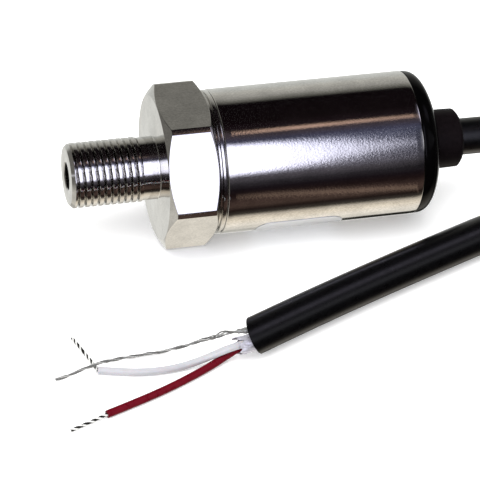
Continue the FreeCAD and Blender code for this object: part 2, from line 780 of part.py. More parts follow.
def make_ties(grown=0.0):
    """Flat straps round the coil's section, one at each tie angle; grown widens them for their seats."""
    upper, lower = coil_radii()
    inner = coil_inner_radius - cable_radius
    around = tie_thickness + tie_clearance
    straps = []
    for angle in tie_angles:
        x0 = inner - around
        x1 = lower + cable_radius + around
        z1 = 2 * cable_diameter + around
        step_x = upper + cable_radius + around
        step_z = cable_diameter + around
        outline = [(x0, 0), (x1, 0), (x1, step_z), (step_x, z1), (x0, z1)]
        window = [(x0 + tie_thickness, tie_thickness), (x1 - tie_thickness, tie_thickness),
                  (x1 - tie_thickness, step_z - 0.4 * tie_thickness),
                  (step_x - 0.4 * tie_thickness, z1 - tie_thickness), (x0 + tie_thickness, z1 - tie_thickness)]
        if grown:
            seat = tie_thickness + grown
            outline = [(x0, -1), (x1 + 1, -1), (x1 + 1, seat), (x0, seat)]
            window = []
        width = tie_width + 2 * grown
        strap = Part.Face(Part.makePolygon([V(x, -width / 2, z) for x, z in outline + outline[:1]]))
        strap = strap.extrude(V(0, width, 0))
        if window:
            hole = Part.Face(Part.makePolygon([V(x, -width, z) for x, z in window + window[:1]]))
            strap = strap.cut(hole.extrude(V(0, 2 * width, 0)))
        strap.rotate(V(0, 0, 0), V(0, 0, 1), angle)
        strap.translate(V(coil_center_x, coil_center_y, 0))
        straps.append(strap)
    return straps


def make_lead_back(coil):
    """Jacketed cable from the coil to its cut end, where the jacket is hollow and cut a little askew."""
    lead = cord_tube("cable back", LEAD_BACK_ROUTE, cable_diameter)
    center = V(*CUT_CENTER)
    normal = V(*CUT_NORMAL).normalize()
    beyond = Part.makeCylinder(2 * cable_diameter, 2 * cable_diameter, center, normal)
    run = (V(*LEAD_BACK_ROUTE[-1]) - V(*LEAD_BACK_ROUTE[-2])).normalize()
    bore = Part.makeCylinder(jacket_bore_diameter / 2, jacket_bore_depth + cable_diameter,
                             center - run * jacket_bore_depth, run)
    second = V(*LEAD_BACK_ROUTE[1])
    forward = V(*LEAD_BACK_ROUTE[2]) - second
    before = Part.makeCylinder(2 * cable_diameter, 4 * cable_diameter, second + forward * BACK_START_SHARE,
                               forward * -1)
    return max(lead.cut(before).cut(coil).cut(beyond).cut(bore).Solids, key=lambda s: s.Volume)


def make_shield_film():
    """Cut-back foil screen: a thin tube round the two insulated conductors."""
    start = V(*SHIELD_AXIS[0])
    mouth = V(*SHIELD_AXIS[1])
    film = Part.makeCylinder(shield_diameter / 2, (mouth - start).Length, start, mouth - start)
    bore = Part.makeCylinder(shield_diameter / 2 - shield_wall, 3 * (mouth - start).Length,
                             start - (mouth - start), mouth - start)
    return film.cut(bore)


def make_tail(name, route, diameter, *others):
    """A conductor of the tail, trimmed clear of the pieces it comes out of."""
    solid = cord_tube(name, route, diameter)
    for other in others:
        solid = solid.cut(other)
    return max(solid.Solids, key=lambda s: s.Volume)


# ================================================================ build
def main():
    os.makedirs("parts", exist_ok=True)
    coil = make_cable_coil()
    bushing = make_cable_bushing()
    lead_out = cord_tube("cable out", LEAD_OUT_ROUTE, cable_diameter).cut(coil)
    lead_back = make_lead_back(coil)
    shield = make_shield_film()
    white = make_tail("white wire", WHITE_ROUTE, lead_white_diameter)
    red = make_tail("red wire", RED_ROUTE, lead_red_diameter)
    pieces = {
        "pressure_port": make_pressure_port(),
        "cell_seal": make_cell_seal(),
        "sensor_cell": make_sensor_cell(),
        "cell_pins": make_cell_pins(),
        "retaining_ring": make_retaining_ring(),
        "spacer_ring": make_spacer_ring(),
        "sensor_ribbon": make_sensor_ribbon(),
        "front_board": make_front_board(),
        "rear_board": make_rear_board(),
        "header_pins": make_header_pins(),
        "header_strip": make_header_strip(),
        "signal_chip": make_signal_chip(),
        "voltage_regulator": make_voltage_regulator(),
        "protection_diode": make_protection_diode(),
        "filter_capacitor": make_filter_capacitor(),
        "chip_capacitors": make_chip_capacitors(),
        "chip_resistors": make_chip_resistors(),
        "insulating_liner": make_liner(),
        "housing_can": make_housing_can(),
        "name_label": make_label(),
        "cap_seal": make_cap_seal(),
        "rear_cap": make_rear_cap(),
        "cable_bushing": bushing,
        "cable_clamp": make_cable_clamp(),
        "inner_white_lead": make_inner_lead("white"),
        "inner_red_lead": make_inner_lead("red"),
        "inner_drain_lead": make_inner_lead("drain"),
        "cable_out": max(lead_out.Solids, key=lambda s: s.Volume),
        "cable_coil": coil,
        "cable_back": lead_back,
        "coil_ties": Part.makeCompound(make_ties()),
        "shield_film": shield,
        "white_wire": white,
        "white_strands": make_tail("white strands", WHITE_STRANDS_ROUTE, strand_diameter, white),
        "red_wire": red,
        "red_strands": make_tail("red strands", RED_STRANDS_ROUTE, strand_diameter, red),
        "drain_wire": make_tail("drain wire", DRAIN_ROUTE, drain_diameter),
    }
    for name, shape in pieces.items():
        save(name, shape)
    return pieces


if __name__ == "__main__":
    main()
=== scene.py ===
"""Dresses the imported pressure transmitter: turned steel port and can, black cap and cable, stripped wires.

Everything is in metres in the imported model's own frame: +X from the pressure port to the cable, +Z up, and
the origin in the middle of the hex flat that the instrument lies on.
"""
import math

import bpy
import numpy as np
from bpy.props import FloatProperty, FloatVectorProperty, IntProperty, PointerProperty
from mathutils import Matrix, Vector


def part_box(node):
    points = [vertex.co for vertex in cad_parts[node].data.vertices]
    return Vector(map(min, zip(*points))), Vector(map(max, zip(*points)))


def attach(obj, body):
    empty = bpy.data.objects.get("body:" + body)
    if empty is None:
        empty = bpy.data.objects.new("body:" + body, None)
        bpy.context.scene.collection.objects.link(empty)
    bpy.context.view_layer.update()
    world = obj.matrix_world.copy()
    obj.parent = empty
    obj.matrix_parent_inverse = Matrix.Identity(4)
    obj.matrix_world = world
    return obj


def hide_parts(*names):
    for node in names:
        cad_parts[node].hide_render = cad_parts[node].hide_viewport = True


bl_info = {
    "name": "Pressure Transmitter",
    "version": (1, 0, 0),
    "blender": (4, 5, 0),
    "location": "View3D > Sidebar > Transmitter",
    "description": "Builds the pressure transmitter's visible pieces, its cable and its studio",
    "category": "Add Mesh",
}

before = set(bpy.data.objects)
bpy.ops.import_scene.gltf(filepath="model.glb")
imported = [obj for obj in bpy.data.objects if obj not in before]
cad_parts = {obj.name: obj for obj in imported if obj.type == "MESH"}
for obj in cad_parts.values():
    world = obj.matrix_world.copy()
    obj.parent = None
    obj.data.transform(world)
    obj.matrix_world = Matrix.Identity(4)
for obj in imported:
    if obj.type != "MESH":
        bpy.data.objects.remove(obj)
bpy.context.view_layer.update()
MM = 0.001
PORT_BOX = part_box("pressure_port")
CAN_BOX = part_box("housing_can")
CAP_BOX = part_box("rear_cap")
BUSHING_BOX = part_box("cable_bushing")
LABEL_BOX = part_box("name_label")
AXIS_HEIGHT = (CAN_BOX[0][2] + CAN_BOX[1][2]) / 2
CAN_RADIUS = (CAN_BOX[1][2] - CAN_BOX[0][2]) / 2
RIM_RADIUS = CAN_RADIUS - 0.07 * MM     # the collar and the cap's rim lie a little lower than the can
CAN_REAR = CAN_BOX[1][0] + 0.15 * MM    # the visible can's rear edge, a little past the solid's


def length(name, default_mm, description):
    """A size property in metres with its default given in millimetres."""
    return FloatProperty(name=name, description=description, default=default_mm * MM, unit="LENGTH",
                         precision=5)


def colour(name, default, description):
    """A linear colour property."""
    return FloatVectorProperty(name=name, description=description, default=default, size=3, subtype="COLOR",
                               min=0.0, max=1.0)


# ------------------------------------------------------------------ settings
class PortSettings(bpy.types.PropertyGroup):
    """Sizes and colour of the pressure port."""
    thread_diameter: length("Thread diameter", 9.8, "Over the crests of the port's thread")
    thread_pitch: length("Thread pitch", 1.0, "From one crest to the next")
    thread_depth: length("Thread depth", 0.6, "From crest to root")
    plain_diameter: length("Plain nose diameter", 9.48, "Of the nose between thread and hex")
    plain_length: length("Plain nose length", 2.5, "Of the nose between thread and hex")
    inlet_diameter: length("Inlet diameter", 4.1, "Of the pressure bore")
    hex_flats: length("Hex across flats", 22.0, "Spanner size")
    hex_length: length("Hex length", 7.7, "Along the instrument")
    hex_corners: length("Hex corner diameter", 24.9, "The turned bar that cuts the hex's corners")
    hex_face: length("Hex face diameter", 21.75, "Where the chamfer meets the end faces")
    steel: colour("Port steel", (0.6, 0.59, 0.57), "Turned stainless steel of the port")


class HousingSettings(bpy.types.PropertyGroup):
    """Sizes and colours of the can, its label and the rear cap."""
    rim: length("Can edge", 0.25, "Rounding of the can's two edges")
    wall: length("Can wall", 1.0, "Thickness of the tube")
    steel: colour("Can steel", (0.62, 0.61, 0.59), "Turned stainless steel of the can")
    label_corner: length("Label corner", 2.1, "Radius of the label's corners")
    label_colour: colour("Label", (0.55, 0.56, 0.58), "Blank label film")
    cap_round: length("Cap dome", 2.6, "How far the cap's rear edge draws in")
    cap_colour: colour("Cap", (0.0008, 0.0007, 0.0008), "Moulded cap")
    boss_colour: colour("Cable bushing", (0.0042, 0.0028, 0.0034), "Rubber bushing round the cable")


class CableSettings(bpy.types.PropertyGroup):
    """Sizes and colours of the cable, its coil and its stripped end."""
    diameter: length("Cable diameter", 5.6, "Over the jacket")
    jacket: colour("Jacket", (0.0007, 0.0006, 0.0009), "Cable jacket")
    turns_in_coil: FloatProperty(name="Coil turns", description="Turns in the put-away coil", default=2.779)
    points_per_turn: IntProperty(name="Points per turn", description="Route points in each turn", default=18,
                                 min=12)
    tie_colour: colour("Ties", (0.004, 0.004, 0.004), "Straps on the coil")
    white: colour("Light insulation", (0.385, 0.385, 0.41), "Insulation of the first conductor")
    red: colour("Red insulation", (0.092, 0.0005, 0.006), "Insulation of the second conductor")
    tin: colour("Tinned copper", (0.74, 0.74, 0.72), "Bare strands")
    foil: colour("Foil screen", (0.56, 0.55, 0.61), "Cut-back foil film")


class StudioSettings(bpy.types.PropertyGroup):
    """Camera, floor and light of the stage."""
    lens: FloatProperty(name="Lens", description="Focal length in mm on a 36 mm sensor", default=232.3)
    floor: colour("Floor", (0.93, 0.93, 0.93), "Pale table")
    floor_size: length("Floor size", 3000.0, "Side of the square table")
    fill: FloatProperty(name="Fill", description="Strength of the even light all round", default=1.5, min=0.0)
    floor_glow: FloatProperty(name="Floor glow", description="Light of the floor's own, as on a light table",
                              default=0.2, min=0.0)
    box_power: FloatProperty(name="Softbox power", description="Watts of the overhead softbox", default=4.6,
                             min=0.0)


# ------------------------------------------------------------------ surfaces
def grid_quads(rows, columns, wrap_rows, wrap_columns):
    """Quads between neighbouring rows and columns of a grid of points numbered row by row."""
    number = np.arange(rows * columns).reshape(rows, columns)
    number = np.pad(number, ((0, int(wrap_rows)), (0, int(wrap_columns))), mode="wrap")
    corners = [number[:-1, :-1], number[:-1, 1:], number[1:, 1:], number[1:, :-1]]
    return np.stack(corners, axis=-1).reshape(-1, 4)


def weld(points, quads):
    """Joins points that share a place, drops quads without area, and splits off triangles at poles."""
    key = np.round(points / 1e-8).astype(np.int64)
    _, first, back = np.unique(key, axis=0, return_index=True, return_inverse=True)
    points = points[first]
    faces = back.reshape(-1)[quads]
    same = faces == np.roll(faces, -1, axis=1)
    full = faces[~same.any(axis=1)]
    once = faces[same.sum(axis=1) == 1]
    gap = np.argmax(once == np.roll(once, -1, axis=1), axis=1)
    keep = (gap[:, None] + np.array([1, 2, 3])) % 4
    return points, full, np.take_along_axis(once, keep, axis=1)


def signed_volume(points, quads, triangles):
    """Sum of the tetrahedra from the origin to each triangle, positive where faces point outwards."""
    corners = np.concatenate([quads[:, [0, 1, 2]], quads[:, [0, 2, 3]], triangles])
    a, b, c = points[corners[:, 0]], points[corners[:, 1]], points[corners[:, 2]]
    return np.einsum("ij,ij->i", a, np.cross(b, c)).sum() / 6


def add_object(name, data):
    """New object in the scene, at the origin and unturned."""
    thing = bpy.data.objects.new(name, data)
    bpy.context.scene.collection.objects.link(thing)
    return thing


def make_piece(name, grids, material, sharp=32.0, closed=True, polish=None):
    """One object from several grids of points, each (points[rows, columns, 3], wrap_rows, wrap_columns).
    The numbers given, one for each grid, go into the mesh as a point attribute that the material can read to
    darken grids, as it paints shade into the strands' core."""
    points, quads, triangles = [], [], []
    offset = 0
    for surface, wrap_rows, wrap_columns in grids:
        rows, columns = surface.shape[:2]
        faces = grid_quads(rows, columns, wrap_rows, wrap_columns)
        flat, four, three = weld(surface.reshape(-1, 3), faces)
        if closed and signed_volume(flat - flat.mean(axis=0), four, three) < 0:
            four, three = four[:, ::-1], three[:, ::-1]
        points.append(flat)
        quads += (four + offset).tolist()
        triangles += (three + offset).tolist()
        offset += len(flat)
    mesh = bpy.data.meshes.new(name)
    mesh.from_pydata(np.concatenate(points), [], quads + triangles, shade_flat=False)
    mesh.validate()
    mesh.set_sharp_from_angle(angle=math.radians(sharp))
    if polish is not None:
        values = np.repeat(np.array(polish, dtype=np.float32), [len(flat) for flat in points])
        mesh.attributes.new("polish", "FLOAT", "POINT").data.foreach_set("value", values)
    mesh.materials.append(material)
    return add_object(name, mesh)


def round_profile(corners, steps):
    """Profile points from (x, r, radius) corners: each corner of radius above 0 becomes a tangent arc."""
    corners = np.array(corners, dtype=float)
    out = []
    for k, (x, r, radius) in enumerate(corners):
        here = np.array([x, r])
        if radius <= 0 or k in (0, len(corners) - 1):
            out.append(here)
            continue
        before = corners[k - 1, :2] - here
        after = corners[k + 1, :2] - here
        run_before, run_after = np.linalg.norm(before), np.linalg.norm(after)
        before, after = before / run_before, after / run_after
        half = math.acos(np.clip(before @ after, -1, 1)) / 2
        trim = min(radius / math.tan(half), 0.49 * run_before, 0.49 * run_after)
        toward = (before + after) / np.linalg.norm(before + after)
        middle = here + toward * trim / math.cos(half)
        a = here + before * trim - middle
        b = here + after * trim - middle
        turn = math.atan2(a[0] * b[1] - a[1] * b[0], a @ b)
        t = np.linspace(0, turn, steps + 1)[:, None]
        out.extend(middle + a * np.cos(t) + np.array([-a[1], a[0]]) * np.sin(t))
    return np.array(out)


def full_circle(count):
    """Equal angles round a full turn."""
    return np.linspace(0, 2 * np.pi, count, endpoint=False)


def turned(x, r, theta):
    """Points at x along the instrument's axis, r from it, and theta round it."""
    x, r, theta = np.broadcast_arrays(x, r, theta)
    return np.stack([x, r * np.cos(theta), AXIS_HEIGHT + r * np.sin(theta)], axis=-1)


def lathe(profile, around):
    """Surface of revolution: each (x, r) of the profile goes round the instrument's axis in equal steps."""
    return turned(profile[:, :1], profile[:, 1:], full_circle(around)), True, True


def run_along(path):
    """Length of a path up to each of its points."""
    return np.concatenate([[0], np.cumsum(np.linalg.norm(np.diff(path, axis=0), axis=1))])


def frames_along(path):
    """Unit tangent, sideways and upward vectors at each point of a path that never stands upright."""
    tangent = np.gradient(path, axis=0)
    tangent /= np.linalg.norm(tangent, axis=1, keepdims=True)
    side = np.cross([0.0, 0.0, 1.0], tangent)
    side /= np.linalg.norm(side, axis=1, keepdims=True)
    return tangent, side, np.cross(tangent, side)


def circles(side, up, count):
    """Unit circles of count points, one for each pair of sideways and upward vectors."""
    phi = full_circle(count)
    return np.cos(phi)[None, :, None] * side[:, None] + np.sin(phi)[None, :, None] * up[:, None]


def tube(path, radius, around, rounding=0.25):
    """Closed round tube: circles of the given radius across the path, with a round tip at both ends."""
    tangent, side, up = frames_along(path)
    radius = np.broadcast_to(np.asarray(radius, dtype=float), (len(path),))
    inner = np.arange(1, len(path) - 1)
    index = np.concatenate([np.zeros(5, int), inner, np.full(5, len(path) - 1)])
    t = np.linspace(0, np.pi / 2, 4)
    shrink, grow = rounding * radius[0], rounding * radius[-1]
    ring = np.concatenate([[0], radius[0] - shrink * (1 - np.sin(t)), radius[inner],
                           radius[-1] - grow * (1 - np.cos(t)), [0]])
    slide = np.concatenate([[0], shrink * (1 - np.cos(t)), 0 * inner, -grow * (1 - np.sin(t)), [0]])
    centre = path[index] + tangent[index] * slide[:, None]
    skin = centre[:, None] + ring[:, None, None] * circles(side[index], up[index], around)
    return skin, False, True


def spline_line(route, step):
    """Evenly spaced points, in metres, of the NURBS spline that has the route's points as its control points.
    The route and the step are in millimetres."""
    curve = bpy.data.curves.new("route", "CURVE")
    curve.dimensions = "3D"
    spline = curve.splines.new("NURBS")
    spline.points.add(len(route) - 1)
    flat = np.ones((len(route), 4))
    flat[:, :3] = np.array(route) * MM
    spline.points.foreach_set("co", flat.ravel())
    spline.order_u = 3
    spline.use_endpoint_u = True
    spline.resolution_u = 12
    holder = add_object("route", curve)
    bpy.context.view_layer.update()
    line = bpy.data.meshes.new_from_object(holder.evaluated_get(bpy.context.evaluated_depsgraph_get()))
    found = np.zeros(3 * len(line.vertices))
    line.vertices.foreach_get("co", found)
    found = found.reshape(-1, 3)
    bpy.data.objects.remove(holder)
    bpy.data.curves.remove(curve)
    bpy.data.meshes.remove(line)
    run = run_along(found)
    even = np.linspace(0, run[-1], max(8, int(round(run[-1] / (step * MM))) + 1))
    return np.stack([np.interp(even, run, found[:, k]) for k in range(3)], axis=1)


def strand_lines(path, count, offset, lay, wander, seed):
    """Lines of strands twisted round a path: each keeps its offset, or the one given for each point, give or
    take its wander, and turns once in each lay length."""
    tangent, side, up = frames_along(path)
    run = run_along(path)
    rng = np.random.default_rng(seed)
    lines = []
    for k in range(count):
        start, sway = rng.uniform(0, 1, 2)
        turn = 2 * np.pi * (k / count + run / lay) + 0.5 * np.sin(2 * np.pi * (run / (3.1 * lay) + start))
        reach = offset * (1 + wander * np.sin(2 * np.pi * (run / (2.3 * lay) + sway)))
        lines.append(path + np.cos(turn)[:, None] * side * reach[:, None]
                     + np.sin(turn)[:, None] * up * reach[:, None])
    return lines


# ------------------------------------------------------------------ finishes
NOISE_SPREAD = 0.2      # nearly all of a noise texture's values lie this close to its middle, 0.5
BLOTCH_SPREAD = 0.12


def add_node(tree, kind, inputs=(), **properties):
    """New shader node: its properties are set first, then each input gets a value or a link."""
    node = tree.nodes.new("ShaderNode" + kind)
    for name, value in properties.items():
        setattr(node, name, value)
    for socket, value in dict(inputs).items():
        if isinstance(value, bpy.types.NodeSocket):
            tree.links.new(value, node.inputs[socket])
        else:
            node.inputs[socket].default_value = value
    return node


def shade_by(tree, value, spread, low, high):
    """Colour that goes from low to high while the value crosses its middle by the spread on each side."""
    node = add_node(tree, "ValToRGB", {"Fac": value})
    for stop, side, shade in zip(node.color_ramp.elements, (-spread, spread), (low, high)):
        stop.position = 0.5 + side
        stop.color = (*shade, 1)
    return node.outputs["Color"]


def between(tree, value, low, high, to_low, to_high, kind="LINEAR"):
    """Goes from one result to the other while the value goes from low to high."""
    inputs = {"Value": value, "From Min": low, "From Max": high, "To Min": to_low, "To Max": to_high}
    return add_node(tree, "MapRange", inputs, interpolation_type=kind).outputs["Result"]


def mixed(tree, share, under, over, mode="MIX"):
    """One colour laid over another by a share of it."""
    inputs = {"Factor": share, "A": under, "B": over}
    return add_node(tree, "Mix", inputs, data_type="RGBA", blend_type=mode).outputs["Result"]


def new_material(name, base, metallic, grain, **sockets):
    """Principled material with plain values on its sockets, and the grain that add_grain's arguments give."""
    material = bpy.data.materials.new(name)
    material.use_nodes = True
    shader = material.node_tree.nodes["Principled BSDF"]
    shader.inputs["Base Color"].default_value = (*base, 1.0)
    shader.inputs["Metallic"].default_value = metallic
    for socket, value in sockets.items():
        shader.inputs[socket.replace("_", " ")].default_value = value
    material.diffuse_color = (*base, 1.0)
    add_grain(material, *grain)
    return material


def add_grain(material, stretch, tint, rough, relief=0.0, detail=3.0, spots=None):
    """Noise in the object's own coordinates, of one scale or one for each axis, that varies colour and
    roughness and adds relief."""
    tree = material.node_tree
    shader = tree.nodes["Principled BSDF"]
    base = tuple(shader.inputs["Base Color"].default_value)[:3]
    own = add_node(tree, "TexCoord").outputs["Object"]
    mapping = add_node(tree, "Mapping", {"Vector": own, "Scale": tuple(np.ones(3) * stretch)})
    place = mapping.outputs["Vector"]
    noise = add_node(tree, "TexNoise", {"Vector": place, "Scale": 1.0, "Detail": detail}).outputs["Fac"]
    shade = shade_by(tree, noise, NOISE_SPREAD, [c * (1 - tint) for c in base],
                     [min(1.0, c * (1 + tint)) for c in base])
    if spots:
        shade = add_spots(tree, own, shade, *spots)
    tree.links.new(shade, shader.inputs["Base Color"])
    spread = between(tree, noise, 0.5 - NOISE_SPREAD, 0.5 + NOISE_SPREAD, *rough)
    tree.links.new(spread, shader.inputs["Roughness"])
    if relief:
        bump = add_node(tree, "Bump", {"Height": noise, "Strength": 1.0, "Distance": relief})
        tree.links.new(bump.outputs["Normal"], shader.inputs["Normal"])


def add_spots(tree, place, shade, spot, scale, share):
    """Lays a second colour over the shade where a cell pattern's distance is under the share."""
    cells = add_node(tree, "TexVoronoi", {"Vector": place, "Scale": scale}).outputs["Distance"]
    return mixed(tree, between(tree, cells, share, share * 1.3, 1.0, 0.0), shade, (*spot, 1))


def add_blotches(material, scale, low):
    """Slow noise that dulls the base colour in patches, as handling leaves them."""
    tree = material.node_tree
    base = tree.nodes["Principled BSDF"].inputs["Base Color"]
    place = add_node(tree, "TexCoord").outputs["Object"]
    noise = add_node(tree, "TexNoise", {"Vector": place, "Scale": scale, "Detail": 2.0}).outputs["Fac"]
    patches = shade_by(tree, noise, BLOTCH_SPREAD, (low, low, low), (1, 1, 1))
    tree.links.new(mixed(tree, 1.0, base.links[0].from_socket, patches, "MULTIPLY"), base)


def add_tone_and_painted_shade(material, dark_colour):
    """Lays the base colour over a dark one by the mesh's own point attribute, so a low value darkens the
    piece: the strands' dark core is painted shade.
    """
    tree = material.node_tree
    base = tree.nodes["Principled BSDF"].inputs["Base Color"]
    polish = add_node(tree, "Attribute", attribute_name="polish").outputs["Fac"]
    tree.links.new(mixed(tree, polish, (*dark_colour, 1), base.links[0].from_socket), base)


def turned_steel(name, base, rough=(0.045, 0.08), relief=3.6e-6):
    """Stainless steel with a fine satin grain, drawn out a little along the bar."""
    material = new_material(name, base, 1.0, ((3000.0, 4800.0, 4800.0), 0.12, rough, relief, 2.5))
    add_blotches(material, 330.0, 0.87)
    return material


def hand_over(piece, slot, *nodes):
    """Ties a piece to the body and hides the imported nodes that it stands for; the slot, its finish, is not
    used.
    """
    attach(piece, "root")
    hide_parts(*nodes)


# ------------------------------------------------------------------ pressure port
ROOT_SHARE = 0.03           # of half a pitch, flat at the thread's root
FLANK_SHARE = 0.42
BEVEL_DROP = 0.55 * MM      # how far the bevel starts below the crests
BEVEL_SLOPE = 1.05
HEX_CHAMFER = math.radians(30)
HEX_EASING = 0.055 * MM     # how far the hex's edges are eased


def hex_angles(flats, corners):
    """Angles round the hex, with close points beside the edges where flats meet the turned corners."""
    edge = math.degrees(math.acos(flats / corners))
    beside = [edge - 0.5, edge - 0.18, edge + 0.18, edge + 0.5]
    half = np.array([0, 3, 6, 9, 12, 15, 18, 21, 23.5, 25.5, 26.8, *beside, 29.2, 30])
    sector = np.concatenate([-half[-2:0:-1], half])
    return np.radians(np.sort(np.concatenate([sector + 30 + 60 * k for k in range(6)])))


def thread_radius(x, theta, port, start):
    """Right-hand thread: a wave of x over the pitch less the angle over a turn, with a round crest and a
    narrow root. It starts shallow behind a bevel."""
    wave = np.abs(2 * np.mod((x - start) / port.thread_pitch - theta / (2 * np.pi), 1.0) - 1)
    height = np.clip((wave - ROOT_SHARE) / FLANK_SHARE, 0, 1)
    height = 0.98 * np.sin(height * np.pi / 2) ** 1.2 + 0.02 * wave ** 2
    crest = port.thread_diameter / 2
    lead_in = np.clip((x - start) / (0.8 * port.thread_pitch), 0, 1)
    depth = port.thread_depth * (0.55 + 0.45 * lead_in)
    bevel = crest - BEVEL_DROP + (x - start) * BEVEL_SLOPE
    return np.minimum(crest - depth * (1 - height), bevel)


def port_surface(port):
    """The whole turned part as one closed grid: rows run from the tip over thread, hex and collar, into the
    cell pocket and back out through the inlet. Hex rows take their radius from the angle: the flat's line
    over the cosine, at most the corner radius. Chamfer rows take their x from that radius."""
    theta = hex_angles(port.hex_flats, port.hex_corners)
    tip, end = PORT_BOX[0][0], PORT_BOX[1][0]
    front, rear = -port.hex_length / 2, port.hex_length / 2
    inlet = port.inlet_diameter / 2
    plain = port.plain_diameter / 2
    thread_end = front - port.plain_length
    rows = [(tip + 0.15 * MM, inlet), (tip + 0.03 * MM, inlet + 0.12 * MM), (tip, inlet + 0.2 * MM),
            (tip, 3.2 * MM), (tip, port.thread_diameter / 2 - 0.62 * MM)]
    for x in np.arange(tip + 0.02 * MM, thread_end - 0.01 * MM, port.thread_pitch / 16):
        rows.append((x, thread_radius(x, theta, port, tip)))
    rows += [(thread_end, np.minimum(thread_radius(thread_end, theta, port, tip), plain + 0.05 * MM)),
             (thread_end + 0.03 * MM, plain), (thread_end + 0.2 * MM, plain), (front - 0.3 * MM, plain),
             (front - 0.08 * MM, plain), (front - 0.02 * MM, plain + 0.03 * MM), (front, plain + 0.1 * MM)]

    across = np.mod(theta, math.pi / 3) - math.pi / 6
    side = np.minimum(port.hex_flats / 2 / np.cos(across), port.hex_corners / 2)
    face = port.hex_face / 2
    e = HEX_EASING

    def cone(radius):
        """Where the chamfer's cone has this radius."""
        return front + (radius - face) * math.tan(HEX_CHAMFER)

    low = np.minimum(face + 1.2 * e, side - 1.4 * e)
    half = [(front, face - 4 * e), (front, face - 1.6 * e), (front, face - e), (front + 0.16 * e, face)]
    half += [(cone(radius), radius) for radius in (low, side - 1.2 * e, side - 0.54 * e)]
    half += [(cone(side) + step * e, side - drop * e) for step, drop in ((0.35, 0.16), (1.3, 0), (3, 0))]
    rows += [*half, (0.0, side), *[(-x, radius) for x, radius in half[::-1]]]

    relief = RIM_RADIUS - 0.55 * MM
    relief_end = rear + 0.45 * MM
    collar_end = CAN_BOX[0][0] - 0.03 * MM
    spigot = CAN_RADIUS - 1.02 * MM
    pocket = spigot - 0.85 * MM
    floor, step, passage = 1.9 * MM, 0.35 * MM, 1.0 * MM
    groove_front, groove_rear = 9.5 * MM, 10.5 * MM
    rows += [*round_profile([
        (rear, relief + 0.2 * MM, 0), (rear, relief, 0.06 * MM), (relief_end, relief, 0.06 * MM),
        (relief_end, RIM_RADIUS, 0.12 * MM), (collar_end, RIM_RADIUS, 0.14 * MM),
        (collar_end, spigot, 0.05 * MM), (end, spigot, 0.2 * MM), (end, pocket, 0.1 * MM),
        (groove_rear, pocket, 0), (groove_rear, pocket + step, 0), (groove_front, pocket + step, 0),
        (groove_front, pocket, 0), (floor, pocket, 0.1 * MM), (floor, passage, 0.05 * MM),
        (-9.5 * MM, passage, 0), (tip + 7 * MM, inlet, 0), (tip + 3 * MM, inlet, 0)], 3)]
    x, r = np.array([np.broadcast_arrays(*row, theta)[:2] for row in rows]).swapaxes(0, 1)
    return turned(x, r, theta)


class BuildPort(bpy.types.Operator):
    """Turned steel port: helical thread, chamfered hex with turned corners, relief groove and collar"""
    bl_idname = "transmitter.build_port"
    bl_label = "Pressure port"

    def execute(self, context):
        port = context.scene.transmitter_port
        steel = turned_steel("port_steel", port.steel, (0.07, 0.13), 3.5e-6)
        piece = make_piece("port", [(port_surface(port), True, True)], steel, sharp=28.0)
        hand_over(piece, "stainless", "pressure_port")
        return {"FINISHED"}


# ------------------------------------------------------------------ housing
class BuildCan(bpy.types.Operator):
    """Turned steel can with rounded edges"""
    bl_idname = "transmitter.build_can"
    bl_label = "Housing can"

    def execute(self, context):
        housing = context.scene.transmitter_housing
        x0, x1, outer, edge = CAN_BOX[0][0], CAN_REAR, CAN_RADIUS, housing.rim
        inner = outer - housing.wall
        rings = (x0 + 1.2 * MM, x0 + 8 * MM, x0 + 15 * MM, x0 + 22 * MM, x1 - 1.2 * MM)
        profile = round_profile([
            (x0 + 5 * MM, inner, 0), (x0, inner, 0.1 * MM), (x0, outer, edge),
            *[(x, outer, 0) for x in rings], (x1, outer, edge), (x1, inner, 0.1 * MM),
            (x1 - 5 * MM, inner, 0), (x0 + 12 * MM, inner, 0)], 5)
        steel = turned_steel("can_steel", housing.steel)
        piece = make_piece("can", [lathe(profile, 256)], steel)
        hand_over(piece, "stainless", "housing_can")
        return {"FINISHED"}


def label_surface(radius, corner):
    """Part of a cylinder between two angles, whose rows shorten near both ends by a quarter circle."""
    low, high = math.radians(-135.0), math.radians(-28.0)
    reach = corner / radius
    near = reach * (1 - np.cos(np.linspace(0, np.pi / 2, 12)))
    turn = np.concatenate([low + near, np.linspace(low + reach, high - reach, 40)[1:-1], (high - near)[::-1]])
    gap = np.minimum(turn - low, high - turn) * radius
    cut = corner - np.sqrt(np.maximum(0, corner ** 2 - np.maximum(0, corner - gap) ** 2))
    across = np.linspace(0, 1, 30)
    x = (LABEL_BOX[0][0] + cut)[:, None] * (1 - across) + (LABEL_BOX[1][0] - cut)[:, None] * across
    return np.stack([x, np.broadcast_to(-radius * np.cos(turn)[:, None], x.shape),
                     np.broadcast_to(AXIS_HEIGHT + radius * np.sin(turn)[:, None], x.shape)], axis=-1)


class BuildLabel(bpy.types.Operator):
    """Blank film label with rounded corners round the underside of the can"""
    bl_idname = "transmitter.build_label"
    bl_label = "Label film"

    def execute(self, context):
        housing = context.scene.transmitter_housing
        film = new_material("label_film", housing.label_colour, 0.3, (700.0, 0.03, (0.28, 0.36), 1e-6),
                            Coat_Weight=0.3, Coat_Roughness=0.2)
        outer = label_surface(CAN_RADIUS + 0.065 * MM, housing.label_corner)
        inner = label_surface(CAN_RADIUS + 0.004 * MM, housing.label_corner)
        loop = np.concatenate([outer, inner[:, ::-1]], axis=1)
        seam = (loop + loop[:, ::-1]) * 0.5
        shell = np.concatenate([seam[:1], loop, seam[-1:]])
        piece = make_piece("label", [(shell, False, True)], film, sharp=50)
        hand_over(piece, "label_film", "name_label")
        return {"FINISHED"}


